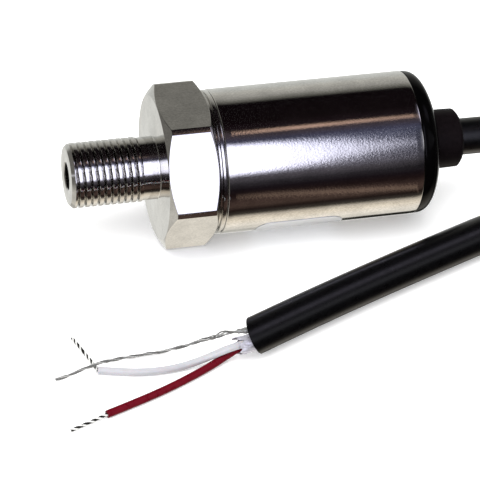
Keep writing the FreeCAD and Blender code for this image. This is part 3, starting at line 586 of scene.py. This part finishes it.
class BuildCap(bpy.types.Operator):
    """Glossy black rear cap with a round edge, and the rubber bushing that the cable comes out of"""
    bl_idname = "transmitter.build_cap"
    bl_label = "Rear cap and bushing"

    def execute(self, context):
        housing = context.scene.transmitter_housing
        x0, x1 = CAP_BOX[0][0], CAP_BOX[1][0]
        plug = CAN_RADIUS - 1.03 * MM
        groove = CAN_RADIUS - 2.12 * MM
        groove_front, groove_rear = x0 + 1.1 * MM, x0 + 2.6 * MM
        front, rear = CAN_REAR + 0.02 * MM, x1 + 0.35 * MM
        hole = 3.75 * MM
        flange, flange_rear = 5.3 * MM, x1 - 3.3 * MM
        plug_profile = round_profile([
            (x0, 7 * MM, 0), (x0, plug, 0.3 * MM), (groove_front, plug, 0.05 * MM),
            (groove_front, groove, 0.1 * MM), (groove_rear, groove, 0.1 * MM), (groove_rear, plug, 0.05 * MM),
            (front, plug, 0.02 * MM), (front, RIM_RADIUS, 0.1 * MM), (CAN_REAR + 0.3 * MM, RIM_RADIUS, 0)], 4)
        t = np.linspace(0.12, 1, 30)
        dome = np.stack([CAN_REAR + (rear - CAN_REAR) * t, RIM_RADIUS - housing.cap_round * t ** 3.2], axis=1)
        back = round_profile([(rear, 7.6 * MM, 0), (rear, hole, 0.15 * MM), (flange_rear, hole, 0),
                              (flange_rear, flange + 0.15 * MM, 0), (x0, flange + 0.15 * MM, 0.1 * MM)], 4)
        profile = np.concatenate([plug_profile, dome, back])
        plastic = new_material("cap_plastic", housing.cap_colour, 0.0, (900.0, 0.15, (0.1, 0.15), 1.5e-6),
                               IOR=1.5, Specular_IOR_Level=0.06)
        cap = make_piece("cap", [lathe(profile, 224)], plastic)
        hand_over(cap, "cap_plastic", "rear_cap")

        b0, b1 = BUSHING_BOX[0][0], BUSHING_BOX[1][0]
        bore, neck, boss = 2.85 * MM, 3.7 * MM, 4.5 * MM
        profile = round_profile([
            (b0, bore, 0.2 * MM), (b0, flange, 0.2 * MM), (flange_rear, flange, 0.1 * MM),
            (flange_rear, neck, 0.1 * MM), (x1, neck, 0.03 * MM), (x1, boss, 0.1 * MM),
            (b1 - 2.5 * MM, boss, 0), (b1 - 0.55 * MM, boss - 0.05 * MM, 0.35 * MM),
            (b1, boss - 0.75 * MM, 0.3 * MM), (b1, bore + 0.1 * MM, 0.12 * MM), (b1 - 2 * MM, bore, 0)], 5)
        rubber = new_material("bushing_rubber", housing.boss_colour, 0.0, (1500.0, 0.2, (0.4, 0.5), 4e-6),
                              Specular_IOR_Level=0.03)
        bushing = make_piece("bushing", [lathe(profile, 128)], rubber)
        hand_over(bushing, "bushing_rubber", "cable_bushing")
        return {"FINISHED"}


# ------------------------------------------------------------------ cable
COIL_CENTRE = np.array([108.5, -8.0])
COIL_JOIN = 140.1           # degrees round the coil where the cable comes in
COIL_INNER = 24.2
COIL_PITCH = 5.65
TOP_TURNS = 1.0
STEP_TURNS = 0.3
COIL_REACH = 36.0 * MM      # no turn of the coil lies further out, only the leads to it
TIE_TURNS = (100.0, -85.0)
TIE_WIDTH = 2.6 * MM
TIE_THICKNESS = 0.7 * MM
TIE_BEVEL = 0.15 * MM
TIE_GAP = 0.05 * MM
TIE_CLEAR = 0.02 * MM
LEAD_OUT = [
    (28.75, 0, 11), (35.15, 0, 10.998), (46.6, 0, 10.985), (56.4, 0.1, 10.7), (65.2, 0.5, 10.15),
    (71.9, 1.9, 9.5), (78.05, 4.6, 8.9), (83.4, 8.6, 8.55), (87.8, 13.75, 8.4)]
LEAD_BACK = [(x, y, 2.8) for x, y in (
    (83.2, -28.9), (79.3, -22.95), (74.1, -18.05), (67.95, -14.4), (61.1, -12.3), (54.0, -11.75),
    (46.9, -12.85), (39.0, -16.06), (30.0, -19.75), (21.0, -23.58), (11.8, -27.67), (2.9, -31.83))]
CUT_CENTRE = np.array([4.53, -31.07, 2.8]) * MM
CUT_NORMAL = np.array([-0.875, 0.134, -0.467])
CUT_NORMAL /= np.linalg.norm(CUT_NORMAL)
JACKET_WALL = 0.38 * MM     # at the cut's edge
MOUTH_DEPTH = 3.4 * MM
SHIELD_AXIS = np.array([(5.92, -31.33, 2.3), (1.95, -32.22, 2.1)]) * MM
WHITE = [
    (7.12, -31.33, 2.83), (4.5, -31.92, 2.72), (1.99, -32.48, 2.57), (-0.11, -32.76, 2.25),
    (-2.49, -33.0, 1.47), (-5.02, -33.28, 0.85), (-7.74, -33.65, 0.57), (-11.13, -33.78, 0.56),
    (-14.53, -33.3, 0.56), (-18.66, -32.15, 0.56)]
WHITE_STRANDS = [
    (-18.66, -32.15, 0.56), (-19.09, -29.98, 0.35), (-19.61, -28.24, 0.29), (-20.13, -26.47, 0.29),
    (-20.85, -24.2, 0.29)]
RED = [
    (7.05, -30.81, 1.82), (4.4, -31.4, 1.7), (1.92, -31.98, 1.54), (0.0, -32.65, 0.93),
    (-2.5, -34.07, 0.66), (-5.57, -35.71, 0.59), (-9.19, -37.53, 0.58), (-12.88, -39.13, 0.58),
    (-16.19, -40.42, 0.58), (-19.31, -41.61, 0.58)]
RED_STRANDS = [
    (-19.31, -41.61, 0.58), (-20.98, -42.15, 0.33), (-22.84, -42.89, 0.29), (-24.85, -43.7, 0.29)]
DRAIN = [
    (7.0, -30.0, 3.6), (4.2, -30.65, 3.55), (2.2, -30.2, 3.25), (0.3, -29.7, 2.7), (-1.84, -29.51, 1.9),
    (-4.6, -29.46, 1.1), (-7.84, -29.5, 0.5), (-11.48, -29.68, 0.32), (-15.02, -30.1, 0.55),
    (-17.74, -31.1, 1.15), (-19.84, -31.95, 1.3), (-21.4, -32.16, 0.8), (-22.9, -32.31, 0.37),
    (-24.93, -32.75, 0.32)]


def coil_turns(cable):
    """Route points of the put-away coil, clockwise from above: one turn inwards on top, a step down, then
    turns outwards on the table a cable's width apart."""
    step = 1.0 / cable.points_per_turn
    width = cable.diameter / MM
    points = []
    for s in np.arange(2.2 * step, cable.turns_in_coil - 1.2 * step, step):
        radius = COIL_INNER + COIL_PITCH * (max(0.0, TOP_TURNS - s) + max(0.0, s - TOP_TURNS - STEP_TURNS))
        sink = min(1.0, max(0.0, (s - TOP_TURNS) / STEP_TURNS))
        height = width / 2 + width * (1 - sink * sink * (3 - 2 * sink))
        turn = math.radians(COIL_JOIN - 360 * s)
        radius /= math.cos(math.pi * step)      # the spline runs inside its control points
        x, y = COIL_CENTRE + radius * np.array([math.cos(turn), math.sin(turn)])
        points.append((x, y, height))
    return points


def cable_line(cable):
    """Middle line of the whole cable, from the bushing through the coil and back."""
    return spline_line(LEAD_OUT + coil_turns(cable) + LEAD_BACK, 0.9)


def jacket_surface(line, radius):
    """Jacket as a tube whose last rings slide along the cable onto the skew cut, then a short bore and its
    floor."""
    tangent, side, up = frames_along(line)
    circle = circles(side, up, 40)
    heading = tangent[-1]

    def cut_back(points):
        beyond = np.maximum((points - CUT_CENTRE) @ CUT_NORMAL, 0)
        return points - heading * (beyond / (heading @ CUT_NORMAL))[..., None]

    def end_ring(radius, ahead):
        return line[-1] + radius * circle[-1] + heading * ahead

    start = np.broadcast_to(line[0], circle[0].shape)
    body = cut_back(line[:, None] + radius * circle)
    lip = cut_back(end_ring(radius - 0.05 * MM, 3 * MM))
    mouth = cut_back(end_ring(radius - JACKET_WALL, 3 * MM))
    deep = end_ring(radius - 0.5 * MM, -MOUTH_DEPTH)
    floor = end_ring(0.0, -MOUTH_DEPTH)
    return np.concatenate([start[None], body, lip[None], mouth[None], deep[None], floor[None]])


class BuildCable(bpy.types.Operator):
    """Black round cable from the bushing through its coil to its cut end"""
    bl_idname = "transmitter.build_cable"
    bl_label = "Cable"

    def execute(self, context):
        cable = context.scene.transmitter_cable
        line = cable_line(cable)
        past_cut = (line - CUT_CENTRE) @ CUT_NORMAL > 1.5 * MM
        line = line[~past_cut | (line[:, 0] > 20 * MM)]
        jacket = new_material("cable_jacket", cable.jacket, 0.0, (1300.0, 0.2, (0.27, 0.34), 4e-6),
                              IOR=1.48, Specular_IOR_Level=0.4)
        skin = jacket_surface(line, cable.diameter / 2)
        piece = make_piece("cable", [(skin, False, True)], jacket, sharp=40)
        piece.visible_glossy = False
        hand_over(piece, "cable_jacket", "cable_out", "cable_coil", "cable_back")
        return {"FINISHED"}


def tie_loop(line, turn, girth):
    """Strap round the turns of the coil, in the upright plane at one angle of it. The plane cuts the cable's
    middle line at a few points. In each direction the strap lies its girth beyond whichever of them reaches
    furthest, so it is the tight outline round equal circles. Underneath it is pressed into the jacket, clear
    of the table."""
    rel = line[:, :2] - COIL_CENTRE * MM
    angle = np.angle(np.exp(1j * (np.arctan2(rel[:, 1], rel[:, 0]) - turn)))
    k = np.nonzero((angle[:-1] * angle[1:] <= 0) & (np.abs(angle[:-1]) < 1))[0]
    share = (angle[k] / (angle[k] - angle[k + 1]))[:, None]
    place = np.stack([np.linalg.norm(rel, axis=1), line[:, 2]], axis=1)
    place = place[k] + share * (place[k + 1] - place[k])
    place = place[place[:, 0] < COIL_REACH]
    lean = full_circle(96)
    out = np.stack([np.cos(lean), np.sin(lean)], axis=1)
    outline = place[(out @ place.T).argmax(axis=1)]
    columns = []
    wide, narrow = TIE_WIDTH / 2, TIE_WIDTH / 2 - TIE_BEVEL
    for lift, half in ((0, -wide), (0, wide), (TIE_THICKNESS, narrow), (TIE_THICKNESS, -narrow)):
        ring = outline + out * (girth + lift)
        low = TIE_THICKNESS - lift + TIE_CLEAR
        x = COIL_CENTRE[0] * MM + ring[:, 0] * math.cos(turn) - half * math.sin(turn)
        y = COIL_CENTRE[1] * MM + ring[:, 0] * math.sin(turn) + half * math.cos(turn)
        columns.append(np.stack([x, y, np.maximum(ring[:, 1], low)], axis=1))
    return np.stack(columns, axis=1)


class BuildTies(bpy.types.Operator):
    """Two black straps round the coil"""
    bl_idname = "transmitter.build_ties"
    bl_label = "Coil ties"

    def execute(self, context):
        cable = context.scene.transmitter_cable
        nylon = new_material("tie_nylon", cable.tie_colour, 0.0, (2500.0, 0.15, (0.35, 0.45), 3e-6))
        line = cable_line(cable)
        girth = cable.diameter / 2 + TIE_GAP
        loops = [(tie_loop(line, math.radians(turn), girth), True, True) for turn in TIE_TURNS]
        piece = make_piece("coil_tie_straps", loops, nylon, sharp=45)
        hand_over(piece, "tie_nylon", "coil_ties")
        return {"FINISHED"}


# ------------------------------------------------------------------ stripped end
FOIL_RADIUS = 1.32 * MM
FOIL_WALL = 0.07 * MM
FOIL_AROUND = 72
WHITE_RADIUS = 0.55 * MM
RED_RADIUS = 0.57 * MM
HEART_RADIUS = 0.23 * MM
STRAND_RADIUS = 0.13 * MM
DRAIN_RADIUS = 0.115 * MM
TABLE_GAP = 0.01 * MM
BULGE_PLACE, BULGE_LENGTH = -0.7 * MM, 1.7 * MM     # where the drain's strands spread, along X
KNOT_SPAN = (2.0 * MM, 5.5 * MM)                    # the drain's thicker start, along X


def foil_surface(radius):
    """Thin torn tube: its radius ripples with angle and length, and its mouth is ragged."""
    start, end = SHIELD_AXIS
    axis = end - start
    reach = np.linalg.norm(axis)
    axis = axis / reach
    side = np.cross([0, 0, 1.0], axis)
    side /= np.linalg.norm(side)
    phi = full_circle(FOIL_AROUND)
    s = np.linspace(0, 1, 26)[:, None]
    ragged = 0.10 * np.sin(3 * phi + 0.5) + 0.07 * np.sin(7 * phi + 2.0) + 0.03 * np.sin(15 * phi)
    run = s * (reach * (1 + ragged * 0.9))
    ripple = 0.06 * np.sin(5 * phi + 9 * s) + 0.04 * np.sin(11 * phi - 14 * s + 1)
    form = (1 + s * s * ripple) * (1 + 0.05 * np.cos(2 * phi))
    circle = circles(side[None], np.cross(axis, side)[None], FOIL_AROUND)
    middle = start + axis * run[..., None]
    outer, inner = [middle + (r * form)[..., None] * circle for r in (radius, radius - FOIL_WALL)]
    return np.concatenate([outer, inner[::-1]])


class BuildTail(bpy.types.Operator):
    """Foil stub, light and red insulated conductors with twisted ends, and the bare drain wire"""
    bl_idname = "transmitter.build_tail"
    bl_label = "Stripped end"

    def execute(self, context):
        cable = context.scene.transmitter_cable
        foil = new_material("foil_screen", cable.foil, 0.45, (1800.0, 0.1, (0.25, 0.5), 4e-5))
        stub = make_piece("foil_stub", [(foil_surface(FOIL_RADIUS), True, True)], foil)
        hand_over(stub, "foil_screen", "shield_film")
        white = new_material("white_insulation", cable.white, 0.0, (900.0, 0.05, (0.28, 0.4), 2e-6),
                             IOR=1.46, Subsurface_Weight=0.15, Subsurface_Scale=0.0006)
        red = new_material("red_insulation", cable.red, 0.0, (900.0, 0.12, (0.25, 0.36), 3e-6),
                           IOR=1.48, Specular_IOR_Level=0.15)
        tin = new_material("tinned_strands", cable.tin, 0.25, (2600.0, 0.12, (0.22, 0.35), 2e-6))
        # the tin's dark colour is painted shade, laid in where a mesh's point attribute is low
        add_tone_and_painted_shade(tin, (0.012, 0.012, 0.01))
        for name, node, route, radius, material in (
                ("white_insulation", "white_wire", WHITE, WHITE_RADIUS, white),
                ("red_insulation", "red_wire", RED, RED_RADIUS, red)):
            skin = tube(spline_line(route, 0.35), radius, 28, 0.12)
            hand_over(make_piece(name, [skin], material), name, node)
        for name, node, route, seed in (("white_core", "white_strands", WHITE_STRANDS, 3),
                                        ("red_core", "red_strands", RED_STRANDS, 4)):
            heart = spline_line(route, 0.12)
            heart[:, 2] = np.maximum(heart[:, 2], HEART_RADIUS + TABLE_GAP)
            tubes = [tube(heart, HEART_RADIUS, 12)]
            for strand in strand_lines(heart, 2, 0.18 * MM, 2.5 * MM, 0.1, seed):
                strand[:, 2] = np.maximum(strand[:, 2], STRAND_RADIUS + TABLE_GAP / 2)
                tubes.append(tube(strand, STRAND_RADIUS, 10))
            # the core tube between the two strands is painted dark, as the shade in their gaps; the strands
            # keep the tin colour
            hand_over(make_piece(name, tubes, tin, polish=[0.0, 1.0, 1.0]), "tinned_copper", node)
        heart = spline_line(DRAIN, 0.18)
        bulge = np.exp(-((heart[:, 0] - BULGE_PLACE) / BULGE_LENGTH) ** 2)
        strands = strand_lines(heart, 4, (0.13 + 0.2 * bulge) * MM, 5.4 * MM, 0.4, 5)
        tubes = [tube(strand, DRAIN_RADIUS, 10) for strand in strands]
        knot = heart[(heart[:, 0] > KNOT_SPAN[0]) & (heart[:, 0] < KNOT_SPAN[1])]
        share = np.linspace(0, 1, len(knot))
        girth = (0.30 + 0.16 * np.sin(np.pi * share) + 0.05 * np.sin(21 * share + 0.6)) * MM
        tubes.append(tube(knot, girth, 16))
        # the drain's strands and its knot are darkened by the given amounts
        drain = make_piece("drain_strands", tubes, tin, polish=[0.16, 0.5, 0.14, 0.36, 0.3])
        hand_over(drain, "tinned_copper", "drain_wire")
        return {"FINISHED"}


# ------------------------------------------------------------------ inner pieces
# material: colour, metallic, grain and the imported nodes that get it
INNER_FINISHES = {
    "seal_rubber": ((0.01, 0.01, 0.01), 0, (1200.0, 0.2, (0.42, 0.55), 3e-6), "cell_seal", "cap_seal"),
    "cell_ceramic": ((0.82, 0.8, 0.74), 0, (1500.0, 0.04, (0.3, 0.45), 2e-6), "sensor_cell"),
    "gold_plate": ((0.75, 0.52, 0.2), 1.0, (3000.0, 0.1, (0.2, 0.3)), "cell_pins", "header_pins"),
    "spring_steel": ((0.42, 0.42, 0.43), 1.0, ((1500.0, 150.0, 150.0), 0.1, (0.22, 0.35), 2e-6),
                     "retaining_ring"),
    "spacer_plastic": ((0.72, 0.69, 0.6), 0, (1100.0, 0.05, (0.45, 0.55), 2e-6), "spacer_ring"),
    "ribbon_film": ((0.5, 0.2, 0.03), 0, ((40.0, 1500.0, 40.0), 0.25, (0.25, 0.35)), "sensor_ribbon"),
    "board_laminate": ((0.012, 0.12, 0.045), 0,
                       (900.0, 0.25, (0.3, 0.4), 2e-6, 3.0, ((0.6, 0.5, 0.28), 520.0, 0.16)),
                       "front_board", "rear_board"),
    "chip_moulding": ((0.018, 0.018, 0.019), 0, (2600.0, 0.3, (0.5, 0.65), 4e-6), "header_strip",
                      "signal_chip", "voltage_regulator", "protection_diode"),
    "capacitor_can": ((0.72, 0.72, 0.74), 1.0, ((1800.0, 200.0, 200.0), 0.06, (0.22, 0.34)),
                      "filter_capacitor"),
    "fired_chips": ((0.3, 0.22, 0.14), 0, (1800.0, 0.2, (0.4, 0.5)), "chip_capacitors",
                    "chip_resistors"),
    "liner_film": ((0.75, 0.76, 0.73), 0, (400.0, 0.04, (0.25, 0.35)), "insulating_liner"),
    "crimp_plate": ((0.6, 0.58, 0.5), 1.0, ((2000.0, 200.0, 200.0), 0.08, (0.2, 0.34)), "cable_clamp"),
}


class DressInside(bpy.types.Operator):
    """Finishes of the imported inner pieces: cell, seals, boards, components and leads"""
    bl_idname = "transmitter.dress_inside"
    bl_label = "Inner pieces"

    def execute(self, context):
        cable = context.scene.transmitter_cable
        leads = {"inner_light": (cable.white, 0, (900.0, 0.05, (0.3, 0.4)), "inner_white_lead"),
                 "inner_red": (cable.red, 0, (900.0, 0.12, (0.26, 0.36)), "inner_red_lead"),
                 "inner_tin": (cable.tin, 1.0, (2600.0, 0.2, (0.25, 0.4)), "inner_drain_lead")}
        for name, (base, metallic, grain, *nodes) in {**INNER_FINISHES, **leads}.items():
            material = new_material(name, base, metallic, grain)
            for node in nodes:
                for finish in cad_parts[node].material_slots:
                    finish.material = material
        return {"FINISHED"}


# ------------------------------------------------------------------ stage
# what polished metal sees: the angle round the instrument's axis, up from the side that faces the camera,
# then the light's red, green and blue there
STUDIO_BANDS = [
    (-180, 0.72, 0.73, 0.7), (-152, 0.8, 0.81, 0.78), (-131, 0.98, 0.97, 0.92), (-101, 1.0, 0.95, 0.85),
    (-91, 1.28, 1.2, 1.07), (-76, 1.2, 1.08, 0.9), (-67, 0.85, 0.76, 0.63), (-60, 0.07, 0.06, 0.05),
    (-51, 0.02, 0.012, 0.011), (-43, 0.085, 0.055, 0.045), (-35, 0.08, 0.05, 0.042),
    (-27, 0.04, 0.024, 0.022), (-22, 0.02, 0.011, 0.011), (-12, 0.013, 0.009, 0.012),
    (-3, 0.035, 0.031, 0.038), (6, 0.11, 0.1, 0.12), (14, 0.2, 0.19, 0.24), (54, 0.16, 0.17, 0.27),
    (64, 0.07, 0.07, 0.12), (72, 0.07, 0.055, 0.07), (78, 0.07, 0.055, 0.065), (81, 0.04, 0.03, 0.03),
    (85, 0.016, 0.009, 0.012), (96, 0.006, 0.003, 0.004), (134, 0.004, 0.002, 0.003),
    (140, 0.172, 0.168, 0.15), (150, 0.45, 0.44, 0.41), (166, 0.66, 0.65, 0.6), (180, 0.72, 0.73, 0.7)]
SOFTBOX_TURN = 36.0
GLOW_TURN = 38.0
LAMP_TURN, LAMP_SIDEWAYS = 86.0, 39.0
STRIP_TURN = 78.5
EMBER_TURN, EMBER_SLOPE = -28.0, 5.5
NOTCH_TURN = -118.5
DUSK_TURN = 26.0
CAMERA_RIGHT = (0.9704067, -0.2350705, 0.05525125)
CAMERA_UP = (0.10392412, 0.61308704, 0.78315008)
CAMERA_BACK = (-0.21796931, -0.75423215, 0.61937327)
CAMERA_PLACE = (-0.093327, -0.358551, 0.289718)
SOFTBOX_PLACE = (-0.15, -0.12, 0.8)
SOFTBOX_SIDES = (0.7, 0.5)


def world_light(studio):
    """World whose light is even, but whose glossy reflections show a studio. A direction is told by its turn,
    the angle round the instrument's axis, and by how far it leans sideways to the cable end, in degrees."""
    world = bpy.data.worlds.new("studio")
    bpy.context.scene.world = world
    world.use_nodes = True
    tree = world.node_tree
    tree.nodes.clear()

    def maths(operation, *values):
        return add_node(tree, "Math", enumerate(values), operation=operation).outputs[0]

    def times(first, *others):
        for other in others:
            first = maths("MULTIPLY", first, other)
        return first

    def smooth(value, low, high, to_low=0.0, to_high=1.0):
        return between(tree, value, low, high, to_low, to_high, "SMOOTHSTEP")

    def near(value, centre, inner, outer, height=1.0):
        """The height where the value is within inner of the centre, falling to nothing at outer."""
        return smooth(maths("ABSOLUTE", maths("SUBTRACT", value, centre)), inner, outer, height, 0.0)

    place = add_node(tree, "TexCoord").outputs["Generated"]
    x, y, z = add_node(tree, "SeparateXYZ", {0: place}).outputs
    turn = times(maths("ARCTAN2", z, times(y, -1.0)), 180 / math.pi)
    sideways = times(maths("ARCSINE", x), 180 / math.pi)
    bands = add_node(tree, "ValToRGB", {"Fac": maths("ADD", maths("DIVIDE", turn, 360.0), 0.5)})
    stops = bands.color_ramp.elements
    stops.remove(stops[-1])
    for k, (degrees, *shade) in enumerate(STUDIO_BANDS):
        stop = stops.new((degrees + 180) / 360) if k else stops[0]
        stop.position = (degrees + 180) / 360
        stop.color = (*shade, 1)

    # ends: the bands fade to dark beyond the instrument's two ends
    ends = times(smooth(sideways, 24.0, 54.0, 1.0, 0.06), smooth(sideways, -42.0, -26.0))
    # notch: a dark gap in the pale table, on the rear half of the housing
    notch = times(near(turn, NOTCH_TURN, 7.0, 12.5, -0.98), smooth(sideways, 13.5, 14.7, 0.35, 1.0))
    # dusk: the grey round the softbox darkens towards the housing's rear end
    dusk = times(near(turn, DUSK_TURN, 28.0, 38.0, -0.55), smooth(sideways, 14.9, 16.2))
    ends = times(ends, maths("ADD", notch, 1.0), maths("ADD", dusk, 1.0))
    # softbox: 24.5 degrees to each side of its turn, narrowing to 1 degree along the housing
    half = smooth(sideways, 12.8, 16.4, 24.5, 1.0)
    off = maths("ABSOLUTE", maths("SUBTRACT", turn, SOFTBOX_TURN))
    softbox = times(smooth(maths("SUBTRACT", half, off), -4.0, 6.0), smooth(sideways, 13.0, 16.5, 1.0, 0.04),
                    smooth(sideways, -50.0, -25.0))
    # glow: the softbox's faint halo, which reaches the thread's flanks and the cable
    beyond = maths("MAXIMUM", smooth(sideways, 20.0, 34.0), smooth(sideways, -4.0, 8.0, 1.0, 0.0))
    glow = times(near(turn, GLOW_TURN, 9.0, 22.0), beyond)
    # lamp: a small soft light high up towards the cable end
    lamp = times(near(turn, LAMP_TURN, 4.0, 19.0), near(sideways, LAMP_SIDEWAYS, 6.0, 18.0))
    # strip: a thin warm line above the softbox, on the housing's side only
    strip = times(near(turn, STRIP_TURN, 0.3, 5.0), smooth(sideways, 12.35, 12.95),
                  smooth(sideways, 13.0, 19.0, 1.0, 0.2))
    # ember: a thin brown line below the softbox, which drops as it runs towards the cable end
    slant = maths("ADD", turn, times(maths("SUBTRACT", sideways, 13.6), EMBER_SLOPE))
    ember = times(near(slant, EMBER_TURN, 0.5, 7.0), smooth(sideways, 12.4, 12.9),
                  smooth(sideways, 16.5, 19.0, 1.0, 0.0))
    # apron: the pale table in front of the port, as the faces turned to -X see it
    apron = times(smooth(sideways, -42.0, -26.0, 1.0, 0.0), smooth(z, -0.6, -0.1, 0.78, 0.2))

    def scaled(shade, amount):
        return add_node(tree, "VectorMath", {0: shade, "Scale": amount}, operation="SCALE").outputs[0]

    total = scaled(bands.outputs["Color"], ends)
    for amount, shade in ((strip, (0.68, 0.44, 0.33)), (ember, (0.17, 0.12, 0.09)), (apron, (1.0, 0.97, 0.9)),
                          (softbox, (2.1, 2.12, 2.6)), (glow, (0.6, 0.6, 0.66)), (lamp, (1.2, 1.15, 1.45))):
        total = add_node(tree, "VectorMath", {0: total, 1: scaled(shade, amount)}, operation="ADD").outputs[0]
    banded = add_node(tree, "Background", {"Color": total})
    even = add_node(tree, "Background", {"Color": (1.0, 1.0, 1.0, 1), "Strength": studio.fill})
    glossy = add_node(tree, "LightPath").outputs["Is Glossy Ray"]
    mix = add_node(tree, "MixShader", {"Fac": glossy, 1: even.outputs[0], 2: banded.outputs[0]})
    add_node(tree, "OutputWorld", {"Surface": mix.outputs[0]})


class BuildStage(bpy.types.Operator):
    """Camera, pale floor, overhead softbox and studio surroundings"""
    bl_idname = "transmitter.build_stage"
    bl_label = "Studio"

    def execute(self, context):
        studio = context.scene.transmitter_studio
        camera = add_object("camera", bpy.data.cameras.new("camera"))
        camera.data.sensor_width = 36.0
        camera.data.lens = studio.lens
        camera.data.clip_end = 20.0
        camera.data.clip_start = 0.01
        turn = Matrix((CAMERA_RIGHT, CAMERA_UP, CAMERA_BACK)).transposed().to_4x4()
        camera.matrix_world = Matrix.Translation(CAMERA_PLACE) @ turn
        context.scene.camera = camera

        side = np.linspace(-studio.floor_size / 2, studio.floor_size / 2, 9)
        x, y = np.meshgrid(side, side, indexing="ij")
        pale = new_material("pale_floor", studio.floor, 0.0, (30.0, 0.01, (0.55, 0.65)),
                            Emission_Color=(1.0, 1.0, 1.0, 1.0), Emission_Strength=studio.floor_glow)
        floor = make_piece("floor", [(np.stack([x, y, 0 * x], axis=-1), False, False)], pale, closed=False)
        floor.visible_glossy = False

        light = add_object("softbox", bpy.data.lights.new("softbox", "AREA"))
        light.data.energy = studio.box_power
        light.data.shape = "RECTANGLE"
        light.data.size, light.data.size_y = SOFTBOX_SIDES
        place = Vector(SOFTBOX_PLACE)
        aim = (-place).to_track_quat("-Z", "Y").to_matrix().to_4x4()
        light.matrix_world = Matrix.Translation(place) @ aim
        light.visible_glossy = False
        world_light(studio)
        context.scene.view_settings.view_transform = "Standard"
        context.scene.view_settings.look = "None"
        return {"FINISHED"}


class TransmitterPanel(bpy.types.Panel):
    """Sidebar panel with the transmitter's operators and settings"""
    bl_idname = "VIEW3D_PT_transmitter"
    bl_label = "Pressure transmitter"
    bl_space_type = "VIEW_3D"
    bl_region_type = "UI"
    bl_category = "Transmitter"

    def draw(self, context):
        for operator in OPERATORS:
            self.layout.operator(operator.bl_idname)
        for name in GROUPS:
            group = getattr(context.scene, name)
            box = self.layout.box()
            for setting in group.__annotations__:
                box.prop(group, setting)


OPERATORS = (BuildPort, BuildCan, BuildLabel, BuildCap, BuildTies, BuildTail, BuildCable, DressInside,
             BuildStage)
GROUPS = {"transmitter_port": PortSettings, "transmitter_housing": HousingSettings,
          "transmitter_cable": CableSettings, "transmitter_studio": StudioSettings}


def register():
    """Registers the settings, operators and panel."""
    for cls in (*GROUPS.values(), *OPERATORS, TransmitterPanel):
        bpy.utils.register_class(cls)
    for name, cls in GROUPS.items():
        setattr(bpy.types.Scene, name, PointerProperty(type=cls))


def unregister():
    """Takes the settings, operators and panel away again."""
    for name in GROUPS:
        delattr(bpy.types.Scene, name)
    for cls in (TransmitterPanel, *OPERATORS[::-1], *list(GROUPS.values())[::-1]):
        bpy.utils.unregister_class(cls)


def main():
    """Builds every piece in order."""
    register()
    for operator in OPERATORS:
        group, name = operator.bl_idname.split(".")
        getattr(getattr(bpy.ops, group), name)()


if __name__ == "__main__":
    main()
